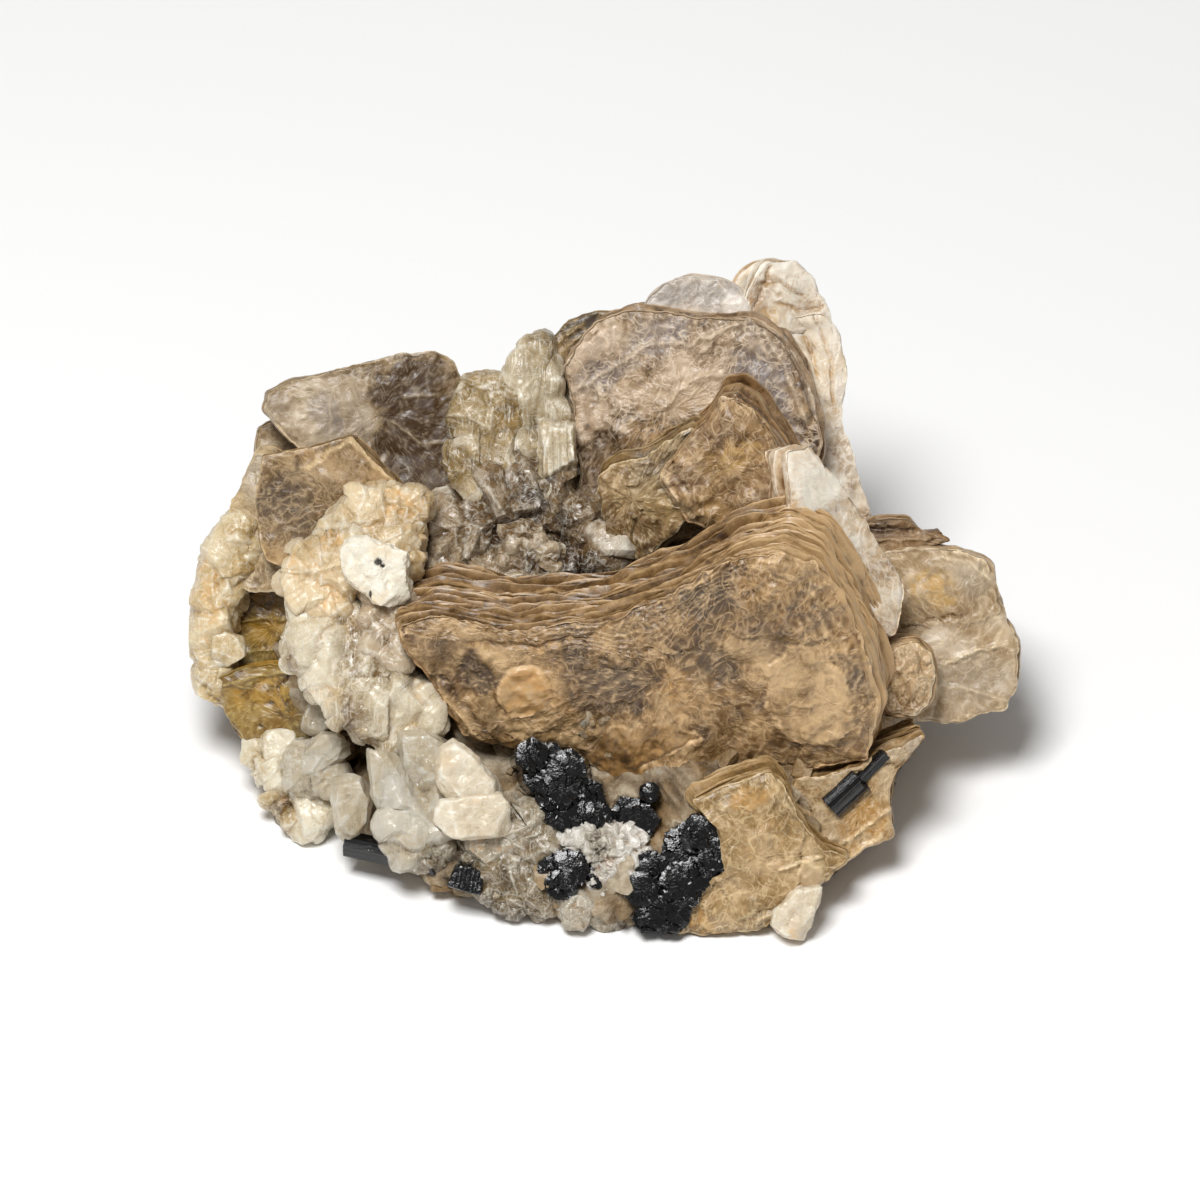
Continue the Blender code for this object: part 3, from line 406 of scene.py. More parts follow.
def book(node, finish, outline, level, lean, thickness, look, steps, seed, sheets=9, fine=0.22):
    """A mica book as one closed surface, round (turns) by down (rows).

    Its face is the outline drawn in towards the middle ring by ring, on the plane w = level + lean . (u, v),
    raised by relief(). Its wall runs back along the plane's normal through one sheet after another, and each
    sheet's rim is the outline moved out by steps and by noise that belongs to that sheet. Its back closes it.
    """
    corners = anticlockwise(outline)
    perimeter = np.linalg.norm(np.roll(corners, -1, axis=0) - corners, axis=1).sum()
    turns, rings = round(perimeter / fine), round(perimeter / fine / 8.4)
    rim = even_outline(outline, turns, look.get("cut", 0.1))
    out = outward(rim)
    middle = corners.mean(axis=0)
    lean = np.array(lean)
    inward = np.array([*lean, -1.0]) / math.sqrt(1.0 + lean @ lean)
    jag = look.get("jag", 0.22)
    nick = jag * (fractal(deep(rim * 0.9, seed), 4, seed + 1) - 0.35)
    edge = rim + out * (nick + steps[0])[:, None]
    share = np.linspace(1.0 / rings, 1.0, rings) ** 0.9
    flat = middle + share[:, None, None] * (edge - middle)
    height, marks = relief(flat, look, seed)
    if "terraces" in look:
        width, count, drop, side = look["terraces"]
        apart = (1.0 - share)[:, None] * np.linalg.norm(edge - middle, axis=1)
        weight = smooth_step(-0.3, 0.7, out @ (np.array(side) / np.linalg.norm(side)))
        level_now = np.clip(1.0 - apart / width, 0.0, 1.0) * count * weight
        level_now = level_now * (1.0 + 0.3 * fractal(deep(flat * 0.16, seed), 2, seed + 70))
        uneven = 0.3 * fractal(deep(flat * 0.4, 1.0), 2, seed + 71)
        level_now = level_now + uneven * smooth_step(0.0, 1.0, level_now)
        whole = np.floor(level_now)
        height = height - drop * (whole + smooth_step(0.72, 1.0, level_now - whole)) * (level_now > 0.0)
        line = ridge(level_now - whole, 0.66, 0.13) * smooth_step(0.3, 0.7, level_now)
        marks["edge"] = marks["edge"] + 0.45 * line
        marks["tone"] = marks["tone"] - 0.14 * smooth_step(0.8, 0.95, level_now - whole) * (level_now > 0.7)
    round_off = look.get("round", 0.25) * smooth_step(0.94, 1.0, share)[:, None]
    plane = level + (flat - middle) @ lean
    face = np.concatenate([flat, plane[..., None]], axis=-1) - inward * (height - round_off)[..., None]
    marks["edge"] = marks["edge"] + 1.28 * smooth_step(0.985, 1.0, share)[:, None] * look.get("rim", 0.55)

    last_height = height[-1]
    rng = np.random.default_rng(seed)
    share_of = 0.35 + 1.5 * rng.uniform(size=sheets) ** 2
    bounds = np.concatenate([[0.0], np.cumsum(share_of / share_of.sum())])
    stands = np.interp((bounds[1:] + bounds[:-1]) / 2, (np.arange(len(steps)) + 0.5) / len(steps), steps)
    rows, tones, edges, depths = [], [], [], []
    light = look.get("wall_light", 0.0) * smooth_step(11.0, 22.0, rim[:, 0])
    for sheet, (start, end) in enumerate(zip(bounds[:-1], bounds[1:])):
        wander = fractal(deep(rim * 0.2, 0.9 * sheet + seed), 3, seed + 40)
        small = fractal(deep(rim * 0.7, 1.7 * sheet + seed), 4, seed + sheet + 50)
        reach = stands[sheet] + look.get("ragged", 0.4) * wander + jag * rng.uniform(0.1, 0.8) * small - 0.15
        reach = reach + rng.uniform(-0.25, 0.15)
        if sheet == 0:
            reach = np.minimum(reach, nick + steps[0] + 0.1)
        bend = 0.9 / sheets * fractal(deep(rim * 0.16, 0.5 * sheet), 2, seed + 90) * min(sheet, 1)
        proud_by = min(0.06, 0.2 * (end - start) * thickness)
        gap, lit = rng.uniform(0.04, 0.3), rng.uniform(0.1, 0.95)
        for place, proud in ((0.08, -proud_by), (0.45, proud_by), (0.92, -proud_by)):
            down = np.clip(start + place * (end - start) + bend, 0.0, 1.0) * thickness
            fade = 1.0 - smooth_step(0.0, 0.25, down / thickness)
            at = rim + out * (reach + proud)[:, None]
            base = level + (at - middle) @ lean
            rows.append(np.column_stack([at, base]) + inward * (down - last_height * fade)[:, None])
            edges.append(np.full(turns, lit if proud > 0 else 0.0) * np.clip(0.3 + 1.2 * small, 0.0, 1.0))
            tones.append(0.5 + light + 0.3 * wander + 0.2 * small + (0.06 if proud > 0 else -gap))
            depths.append(down)
    wall = np.stack(rows)
    back_share = np.linspace(0.94, 0.04, 8)[:, None, None]
    last = wall[-1]
    centre = last.mean(axis=0)
    swell = 0.25 * fractal((centre + back_share * (last - centre)) * 0.4, 3, seed + 200)[..., None]
    back = centre + back_share * (last - centre) + inward * swell * (1.0 - back_share)

    def stacked(values, wall_value, back_value):
        ends = [np.broadcast_to(v, (n, turns)) for v, n in ((wall_value, len(wall)), (back_value, len(back)))]
        return np.concatenate([np.broadcast_to(values, face.shape[:2]), *ends])[None]

    grid = np.concatenate([face, wall, back])
    all_marks = {
        "tone": stacked(marks["tone"], np.stack(tones), 0.45),
        "gold": stacked(marks["gold"], look.get("wall_gold", 0.15), 0.1),
        "grey": stacked(marks["grey"], 0.05, 0.3),
        "edge": stacked(marks["edge"], np.stack(edges), 0.0),
        "lace": stacked(marks["lace"], 0.15, 0.5),
        "speck": stacked(marks["speck"], 0.0, 0.0),
    }
    below = stacked(-height, np.stack(depths), thickness)
    place = np.concatenate([grid[None, ..., :2], below[..., None]], axis=-1)
    carry(build(node + "_sheets", [(to_row(grid)[None], place, all_marks)], finish), node)


def soft_solid(directions, normals, offsets, power):
    """The reach of a faceted crystal along each direction: the planes n . x = h give
    r = (sum of (n . d / h)^power)^(-1/power), which is flat on each face and rounded where they meet. Also
    gives a mark that is 1 where the two nearest planes meet."""
    facing = np.maximum(directions @ np.swapaxes(normals, -1, -2), 1e-6) / offsets[..., None, :]
    ranked = np.sort(facing, axis=-1)
    top = ranked[..., -1]
    edge = ridge(ranked[..., -2] / top, 1.0, 0.045)
    return 1.0 / (top * ((facing / top[..., None]) ** power).sum(axis=-1) ** (1.0 / power)), edge


def ball_grid(rows, columns, front=1.0):
    """Directions on a ball, in rings from its top to its bottom, without the two poles. A front over 1 brings
    more of the rings near the top."""
    down = math.pi * np.linspace(0.0, 1.0, rows + 2)[1:-1][:, None] ** front
    round_ = np.linspace(0.0, FULL_TURN, columns, endpoint=False)[None]
    z = np.broadcast_to(np.cos(down), (rows, columns))
    return np.stack([np.sin(down) * np.cos(round_), np.sin(down) * np.sin(round_), z], axis=-1)


def block_planes(outline, depth, front, back, bevel):
    """The planes of a block about its own centre: a front and a back face, and for each side of the outline
    one face that slopes to the smaller front and one that slopes to the smaller back."""
    corners = anticlockwise(outline)
    corners = corners - corners.mean(axis=0)
    ahead = np.roll(corners, -1, axis=0) - corners
    out = np.stack([ahead[:, 1], -ahead[:, 0]], axis=1) / np.linalg.norm(ahead, axis=1)[:, None]
    far = (corners * out).sum(axis=1)
    half, drop = depth / 2.0, bevel * depth
    point = np.column_stack([out * far[:, None], np.full(len(far), half - drop)])
    normals, offsets = [], []
    for run, rise in (((1 - front) * far, drop), ((back - 1) * far, depth - drop)):
        normal = np.column_stack([out * rise, run])
        normal /= np.linalg.norm(normal, axis=1)[:, None]
        normals.append(normal)
        offsets.append((normal * point).sum(axis=1))
    normals.append(np.array([[0.0, 0.0, 1.0], [0.0, 0.0, -1.0]]))
    offsets.append(np.array([half, half]))
    return np.concatenate(normals), np.concatenate(offsets)


def block_shell(outline, level, depth, lean=(0.0, 0.0), front=0.72, back=0.8, bevel=0.28, power=26.0,
                rows=60, columns=96, chips=6, rough=0.03, groove=None, crust=None, seed=1, tone=0.5,
                specks=()):
    """One crystal: the soft solid of its planes and of a few chips off its corners, roughened by noise.

    groove = (angle, spacing, depth) adds fine ribs across its sides: |sin| of the place along that angle.
    crust = (size, share) heaps smaller crystals on it, at a share of their own height.
    """
    normals, offsets = block_planes(outline, depth, front, back, bevel)
    around = ball_grid(rows, columns, 1.3)
    corners = anticlockwise(outline)
    middle = corners.mean(axis=0)
    if chips:
        count = np.arange(chips)
        z = 1.0 - 1.7 * (count + 0.5) / chips
        turn = count * 2.4 + seed
        flat = np.sqrt(1.0 - z * z)
        chip = np.stack([flat * np.cos(turn), flat * np.sin(turn), z], axis=-1)
        levels = ((front, depth / 2), (1.0, depth / 2 - bevel * depth), (back, -depth / 2))
        ends = np.concatenate([np.column_stack([(corners - middle) * s, np.full(len(corners), h)])
                               for s, h in levels])
        reach = (chip @ ends.T).max(axis=1)
        normals = np.concatenate([normals, chip])
        offsets = np.concatenate([offsets, reach * (0.86 + 0.1 * np.sin(count * 1.9 + seed))])
    # the directions spread to the block's proportions, so that its small sides get their share of the rings
    spread = np.array([*((corners.max(axis=0) - corners.min(axis=0)) / 2.0), depth / 2.0])
    directions = around * spread
    directions /= np.linalg.norm(directions, axis=-1, keepdims=True)
    reach, edge = soft_solid(directions.reshape(-1, 3), normals, offsets, power)
    edge = edge.reshape(rows, columns) * smooth_step(-0.3, 0.3, fractal(directions * 3.0, 3, seed + 2))
    local = directions * reach.reshape(rows, columns, 1)
    bumps = rough * (fractal(local * 0.9, 4, seed) - 0.4)
    if groove:
        angle, spacing, cut = groove
        across = local[..., 0] * math.cos(angle) + local[..., 1] * math.sin(angle)
        bumps = bumps - cut * np.abs(np.sin(math.pi * across / spacing + 0.8 * noise3(local * 0.5, seed)))
    local = local + directions * bumps[..., None]
    number, rise = np.full((rows, columns), 0.5), 0.0
    if crust:
        facing = grid_normals(local)
        rise, number, edge, crease = heap(local + np.array([*middle, level]), crust[0], seed + 7)
        local = local + facing * (crust[1] * rise)[..., None]
        rise = rise / crust[0] - 0.3 - 0.3 * crease
    placed = local + np.array([*middle, level - depth / 2.0])
    placed[..., 2] += local[..., :2] @ np.array(lean)
    speck = np.zeros((rows, columns))
    for centre, radii in specks:
        speck = np.maximum(speck, blob(placed[..., :2], centre, radii, 0.0, 0.2))
    # How far towards the block's back a point lies: the marks below paint shade there.
    recess = np.clip(-local[..., 2] / depth + 0.2, 0.0, 1.0)
    marks = {
        # The tone is painted shade and light: darker towards the back, paler on high crust crystals, darker in
        # creases.
        "tone": (tone + 0.2 * fractal(local / 3.0, 3, seed + 5) - 0.25 * recess + 0.4 * (number - 0.5)
                 + 0.5 * rise),
        # The gold mark is stain from noise, plus painted shade towards the back and in the creases.
        "gold": np.clip(0.6 * fractal(local / 2.5, 3, seed + 9) + 0.35 * recess - 0.8 * rise, 0.0, 1.0),
        "grey": np.clip(0.8 * fractal(local / 2.0, 3, seed + 15), 0.0, 1.0),
        "edge": edge,
        "lace": np.full(local.shape[:-1], 0.5),
        "speck": speck,
    }
    return placed[None], placed[None], one_copy(marks)


def crusted(placed, size, seed, tall, tone, drawn):
    """Heaps crystals of a size on a grid of rings, drawn times as long along v, and marks it: paler where
    they stand high and darker in their creases, as painted light and shade, and stained from noise, with
    more stain colour low down and in the creases as painted shade."""
    facing = grid_normals(placed)
    swell = 0.5 * fractal(placed / 4.0, 3, seed + 3) + 0.12 * fractal(placed * 1.1, 3, seed + 4)
    squeeze = np.array([1.0, 1.0 / drawn, 1.0])
    rise, number, edge, crease = heap(placed * squeeze, size, seed)
    small, _, small_edge, _ = heap(placed * squeeze, size * 0.36, seed + 1)
    grid = placed + facing * (tall * (rise + 0.5 * small) + swell)[..., None]
    high = rise / size - 0.3
    marks = {
        # The tone is painted light and shade: paler where a crystal stands high, darker in the creases.
        "tone": (tone + 0.3 * (number - 0.5) + 0.5 * high - 0.1 * crease
                 + 0.45 * fractal(placed / 3.5, 3, seed + 5)),
        # The gold mark is stain from noise, plus painted shade where crystals stand low and in the creases.
        "gold": np.clip(0.7 * fractal(placed / 3.0, 3, seed + 9) - 0.9 * high + 0.3 * crease, 0.0, 1.0),
        "grey": np.clip(1.2 * fractal(placed / 4.0, 3, seed + 15), 0.0, 1.0),
        "edge": 0.6 * edge + 0.35 * small_edge,
        "lace": np.full(placed.shape[:-1], 0.5),
    }
    return grid[None], grid[None], one_copy(marks)


def crust_shell(outline, level, depth, size, seed, lean=(0.0, 0.0), tall=0.8, tone=0.5, rows=64, columns=120,
                ragged=0.5, flat=0.3, drawn=1.0):
    """A crust in an outline: a pillow with a heap of crystals on it. At share t from its front middle to its
    back middle it lies sin(pi t) of the way out to the outline, at half its depth times |cos(pi t)|^flat."""
    rim = even_outline(outline, columns)
    middle = anticlockwise(outline).mean(axis=0)
    rim = rim + outward(rim) * (ragged * fractal(deep(rim * 0.5, seed), 4, seed))[:, None]
    turn = math.pi * np.linspace(0.0, 1.0, rows + 2)[1:-1, None] ** 1.4
    spread = middle + np.sin(turn)[..., None] * (rim - middle)
    rise = np.sign(np.cos(turn)) * np.abs(np.cos(turn)) ** flat
    w = level + depth / 2.0 * (rise - 1.0) + (spread - middle) @ np.array(lean)
    return crusted(np.concatenate([spread, w[..., None]], axis=-1), size, seed, tall, tone, drawn)


def crust_along(places, depth, size, seed, tall=1.0, tone=0.5, rows=120, columns=72, flat=0.45, drawn=1.0):
    """A crust along a path of (u, v, radius, level) places: its section is r cos(a) across the path and half
    the depth times |sin(a)|^flat out of the face, and it closes at its ends as (1 - |2t - 1|^5)^(1/2)."""
    share = np.linspace(0.0, 1.0, rows + 2)[1:-1]
    path = np.array(places, float)
    for _ in range(3):
        cut = np.stack([path[:-1] * 0.75 + path[1:] * 0.25, path[:-1] * 0.25 + path[1:] * 0.75], 1)
        path = np.vstack([path[:1], cut.reshape(-1, 4), path[-1:]])
    run = np.concatenate([[0.0], np.cumsum(np.linalg.norm(np.diff(path[:, :2], axis=0), axis=1))])
    u, v, radius, level = (np.interp(share * run[-1], run, path[:, i]) for i in range(4))
    along = np.stack([np.gradient(u), np.gradient(v)], axis=1)
    along /= np.linalg.norm(along, axis=1)[:, None]
    across = np.stack([along[:, 1], -along[:, 0]], axis=1)
    taper = np.sqrt(1.0 - np.abs(2.0 * share - 1.0) ** 5)
    turn = np.linspace(0.0, FULL_TURN, columns, endpoint=False)
    uneven = 1.0 + 0.22 * fractal(deep(np.column_stack([u, v]), seed) * 0.4, 3, seed + 6)
    side = (radius * taper * uneven)[:, None] * np.cos(turn)
    rise = np.sign(np.sin(turn)) * np.abs(np.sin(turn)) ** flat
    w = level[:, None] - depth / 2.0 + depth / 2.0 * taper[:, None] * rise
    spread = np.stack([u, v], axis=1)[:, None] + across[:, None] * side[..., None]
    return crusted(np.concatenate([spread, w[..., None]], axis=-1), size, seed, tall, tone, drawn)


def turned_by(quaternions):
    """Rotation matrices of unit quaternions."""
    w, x, y, z = np.moveaxis(quaternions / np.linalg.norm(quaternions, axis=-1, keepdims=True), -1, 0)
    return np.stack([
        1 - 2 * (y * y + z * z), 2 * (x * y - z * w), 2 * (x * z + y * w),
        2 * (x * y + z * w), 1 - 2 * (x * x + z * z), 2 * (y * z - x * w),
        2 * (x * z - y * w), 2 * (y * z + x * w), 1 - 2 * (x * x + y * y),
    ], axis=-1).reshape(x.shape + (3, 3))


SOFT_BOX = 24.0


def corner_grid():
    """Directions in five rings of eight that meet a box's corners, edges and faces."""
    down = np.radians([28.0, 54.7, 90.0, 125.3, 152.0])[:, None]
    round_ = np.linspace(0.0, FULL_TURN, 8, endpoint=False)[None]
    return np.stack([np.sin(down) * np.cos(round_), np.sin(down) * np.sin(round_),
                     np.broadcast_to(np.cos(down), (5, 8))], axis=-1)


def grains(centres, sizes, seed):
    """Many small crystals at once: each is the soft solid of a box and of three chips, scaled to its half
    lengths and turned its own way."""
    rng = np.random.default_rng(seed)
    count, chips = len(centres), 3
    box = np.concatenate([np.eye(3), -np.eye(3)])
    chip = rng.normal(size=(count, chips, 3))
    chip /= np.linalg.norm(chip, axis=-1, keepdims=True)
    normals = np.concatenate([np.broadcast_to(box, (count, 6, 3)), chip], axis=1)
    offsets = np.concatenate([np.ones((count, 6)), rng.uniform(0.9, 1.35, (count, chips))], axis=1)
    around = corner_grid().reshape(-1, 3)
    rows, columns = 5, 8
    reach, _ = soft_solid(np.broadcast_to(around, (count, *around.shape)), normals, offsets, SOFT_BOX)
    local = around * reach[..., None] * sizes[:, None, :]
    axes = turned_by(np.concatenate([np.ones((count, 1)), rng.normal(size=(count, 3))], axis=1))
    placed = np.einsum("nij,npj->npi", axes, local) + centres[:, None, :]
    grid = placed.reshape(count, rows, columns, 3)
    one = (rng.uniform(-1, 1, count) * 0.25 + 0.5)[:, None, None] * np.ones((1, rows, columns))
    marks = {
        "tone": one,
        "gold": np.broadcast_to((rng.uniform(0, 1, count) ** 3)[:, None, None], one.shape),
        "grey": np.broadcast_to((rng.uniform(0, 1, count) ** 2)[:, None, None], one.shape),
        "edge": one * 0.0,
        "lace": one * 0.0 + 0.5,
    }
    place = local.reshape(count, rows, columns, 3) + rng.uniform(-40, 40, (count, 1, 1, 3))
    return grid, place, marks


def joined(shell):
    """Takes a shell from the display face to the row, for build()."""
    grid, place, marks = shell
    return to_row(grid), place, marks


def shade(red, green, blue):
    """A display colour, 0 to 255, as the linear colour that a shader takes."""
    parts = [c / 255.0 for c in (red, green, blue)]
    return tuple(c / 12.92 if c <= 0.04045 else ((c + 0.055) / 1.055) ** 2.4 for c in parts) + (1.0,)


class Wiring:
    """Adds nodes to a node tree and joins them. A value given for a socket may be a number or an output."""

    def __init__(self, tree):
        self.tree = tree

    def put(self, socket, value):
        if isinstance(value, bpy.types.NodeSocket):
            self.tree.links.new(value, socket)
        elif value is not None:
            socket.default_value = value

    def node(self, kind, values=(), **settings):
        made = self.tree.nodes.new(kind)
        for key, value in settings.items():
            setattr(made, key, value)
        for key, value in dict(values).items():
            self.put(made.inputs[key], value)
        return made

    def maths(self, operation, a, b=None, c=None, clamp=False):
        made = self.node("ShaderNodeMath", operation=operation, use_clamp=clamp)
        for socket, value in zip(made.inputs, (a, b, c)):
            self.put(socket, value)
        return made.outputs[0]

    def ranged(self, value, low, high, to_low=0.0, to_high=1.0):
        values = {"Value": value, "From Min": low, "From Max": high, "To Min": to_low, "To Max": to_high}
        return self.node("ShaderNodeMapRange", values, interpolation_type="SMOOTHSTEP").outputs["Result"]

    def mix(self, share, a, b, blend="MIX"):
        made = self.node("ShaderNodeMix", data_type="RGBA", blend_type=blend, clamp_factor=True)
        for socket, value in ((made.inputs[0], share), (made.inputs[6], a), (made.inputs[7], b)):
            self.put(socket, value)
        return made.outputs[2]

    def noise(self, vector, scale, detail=4.0, distortion=0.0, roughness=0.55):
        values = {"Vector": vector, "Scale": scale, "Detail": detail, "Distortion": distortion,
                  "Roughness": roughness}
        return self.node("ShaderNodeTexNoise", values).outputs[0]

    def spread(self, pattern, amount, value):
        """A value with a pattern round 0.5 added to it, an amount strong."""
        return self.maths("MULTIPLY_ADD", self.maths("SUBTRACT", pattern, 0.5), amount, value)

    def times(self, a, b, clamp=False):
        return self.maths("MULTIPLY", a, b, clamp=clamp)

    def group(self, tree, **values):
        return self.node("ShaderNodeGroup", values, node_tree=tree).outputs

    def finish(self, shader, colour, roughness, height, strength, distance=0.00012):
        """Joins a colour, a roughness and a bumpy height to the shader."""
        bump = self.node("ShaderNodeBump", {"Height": height, "Strength": strength, "Distance": distance})
        for label, value in (("Base Color", colour), ("Roughness", roughness), ("Normal", bump.outputs[0])):
            self.put(shader.inputs[label], value)

    def stretched(self, vector, x, y, z):
        return self.node("ShaderNodeMapping", {"Vector": vector, "Scale": (x, y, z)}).outputs[0]

    def mark(self, name, output="Fac"):
        return self.node("ShaderNodeAttribute", attribute_name=name).outputs[output]

    def ramp(self, value, *stops):
        made = self.node("ShaderNodeValToRGB", {"Fac": value})
        made.color_ramp.elements[0].position = stops[0][0]
        made.color_ramp.elements[-1].position = stops[-1][0]
        for place, _ in stops[1:-1]:
            made.color_ramp.elements.new(place)
        for stop, (_, colour) in zip(made.color_ramp.elements, stops):
            stop.color = colour
        return made.outputs[0]


def new_group(name, inputs, outputs):
    """An empty shader group with these (label, kind, default) inputs and (label, kind) outputs."""
    tree = bpy.data.node_groups.new(name, "ShaderNodeTree")
    for label, kind, value in inputs:
        tree.interface.new_socket(label, in_out="INPUT", socket_type=kind).default_value = value
    for label, kind in outputs:
        tree.interface.new_socket(label, in_out="OUTPUT", socket_type=kind)
    return tree, Wiring(tree), tree.nodes.new("NodeGroupInput"), tree.nodes.new("NodeGroupOutput")


def lace_group():
    """Thin curly lines where slow, twisted noise crosses its middle value, at two sizes, broken in places."""
    tree, wires, given, made = new_group(
        "crumpled_lace",
        [("Place", "NodeSocketVector", (0, 0, 0)), ("Scale", "NodeSocketFloat", 0.5),
         ("Width", "NodeSocketFloat", 0.04)],
        [("Lines", "NodeSocketFloat")])
    place, scale, width = given.outputs[:3]
    lines = []
    for factor, distortion, thick in ((1.0, 0.45, 0.8), (2.1, 0.35, 1.1)):
        wave = wires.noise(place, wires.maths("MULTIPLY", scale, factor), 1.2, distortion)
        off = wires.maths("ABSOLUTE", wires.maths("SUBTRACT", wave, 0.5))
        lines.append(wires.ranged(off, 0.0, wires.maths("MULTIPLY", width, thick), 1.0, 0.0))
    both = wires.maths("MAXIMUM", lines[0], wires.maths("MULTIPLY", lines[1], 0.8))
    gaps = wires.ranged(wires.noise(place, wires.maths("MULTIPLY", scale, 1.4), 2.0), 0.3, 0.5)
    wires.put(made.inputs["Lines"], wires.maths("MULTIPLY", both, gaps))
    return tree


def sheet_group():
    """The banding of stacked sheets: noise that changes quickly with depth and slowly along the sheet."""
    tree, wires, given, made = new_group(
        "stacked_sheets",
        [("Place", "NodeSocketVector", (0, 0, 0)), ("Sheets", "NodeSocketFloat", 6.0)],
        [("Bands", "NodeSocketFloat"), ("Grain", "NodeSocketFloat")])
    place, sheets = given.outputs[:2]
    deep_scale = wires.node("ShaderNodeCombineXYZ", {"X": 0.22, "Y": 0.22, "Z": sheets}).outputs[0]
    squeezed = wires.node("ShaderNodeVectorMath", {0: place, 1: deep_scale}, operation="MULTIPLY").outputs[0]
    wires.put(made.inputs["Bands"], wires.noise(squeezed, 1.0, 3.0, 0.3))
    wires.put(made.inputs["Grain"], wires.noise(place, 5.5, 4.0, 0.2, 0.65))
    return tree


def streak_group():
    """Fine light streaks, and tiny painted glints that stand in for highlights: noise drawn out along the
    place's second direction, and peaks.
    """
    tree, wires, given, made = new_group(
        "streaks_and_glints",
        [("Place", "NodeSocketVector", (0, 0, 0))],
        [("Streaks", "NodeSocketFloat"), ("Glints", "NodeSocketFloat")])
    place = given.outputs["Place"]
    squeezed = wires.stretched(place, 4.0, 0.35, 1.0)
    streaks = wires.ranged(wires.noise(squeezed, 1.0, 4.0, 0.6), 0.5, 0.72)
    patches = wires.ranged(wires.noise(place, 0.45, 3.0), 0.4, 0.62)
    wires.put(made.inputs["Streaks"], wires.maths("MULTIPLY", streaks, patches))
    # Glints: peaks of fine noise, used as painted highlights.
    wires.put(made.inputs["Glints"], wires.ranged(wires.noise(place, 3.4, 2.0, 0.0, 0.7), 0.72, 0.78))
    return tree


SPECK = (34, 26, 18)
VEIL = (245, 240, 226)
STREAKS = streak_group()
LACE = lace_group()
SHEETS = sheet_group()


def new_material(name, **constants):
    """A material, the wiring of its nodes and its shader, with constants set directly on the sockets."""
    made = bpy.data.materials.new(name)
    made.use_nodes = True
    shader = made.node_tree.nodes["Principled BSDF"]
    for key, value in constants.items():
        shader.inputs[key.replace("_", " ")].default_value = value
    return made, Wiring(made.node_tree), shader


STREAK_TURN = 0.6


def mica(name, dark, body, light, line, gold=(196, 146, 66), grey=(112, 98, 88), lace_scale=0.42, shine=0.34,
         sheets=7.0, line_strength=1.0):
    """Mica: the tone mark, with the bands of its sheets, picks a colour from dark to light, the gold and grey
    marks stain it, and the edge mark, the lace, the streaks and the painted glints (tiny painted highlights)
    are drawn in the line colour."""
    made, wires, shader = new_material(
        name, IOR=1.56, Coat_Weight=0.12, Coat_Roughness=0.2, Subsurface_Weight=0.08,
        Subsurface_Radius=(0.0016, 0.0010, 0.0006))
    place = wires.mark("place", "Vector")
    bands, grain = wires.group(SHEETS, Place=place, Sheets=sheets)
    lines = wires.times(wires.group(LACE, Place=place, Scale=lace_scale)[0], wires.mark("lace"))
    turned = wires.node("ShaderNodeMapping", {"Vector": place, "Rotation": (0.0, 0.0, STREAK_TURN)})
    streaks, glints = wires.group(STREAKS, Place=turned.outputs[0])
    mottle = wires.noise(place, 0.9, 5.0, 0.6)
    value = wires.mark("tone")
    for pattern, amount in ((grain, 0.4), (bands, 0.4), (mottle, 0.8)):
        value = wires.spread(pattern, amount, value)
    colour = wires.ramp(value, (0.08, shade(*dark)), (0.5, shade(*body)), (0.92, shade(*light)))
    stain = wires.times(wires.mark("gold"), wires.ranged(mottle, 0.3, 0.62), clamp=True)
    colour = wires.mix(stain, colour, shade(*gold))
    cloud = wires.times(wires.mark("grey"), wires.ranged(grain, 0.25, 0.6), clamp=True)
    colour = wires.mix(cloud, colour, shade(*grey))
    rim = wires.times(wires.mark("edge"), wires.ranged(grain, 0.3, 0.55, 0.45, 1.0))
    drawn = wires.maths("MAXIMUM", wires.times(lines, line_strength), rim, clamp=True)
    drawn = wires.maths("MAXIMUM", drawn, wires.times(streaks, 0.3))
    # Painted glints: tiny painted highlights, drawn in the line colour.
    drawn = wires.maths("MAXIMUM", drawn, glints)
    colour = wires.mix(wires.times(drawn, 0.85), colour, shade(*line))
    colour = wires.mix(wires.mark("speck"), colour, shade(*SPECK))
    height = wires.maths("MULTIPLY_ADD", lines, 0.5, wires.times(bands, 0.8))
    height = wires.maths("MULTIPLY_ADD", grain, 0.35, height)
    wires.finish(shader, colour, wires.ranged(mottle, 0.3, 0.7, shine, shine + 0.22), height, 0.75)
    return made


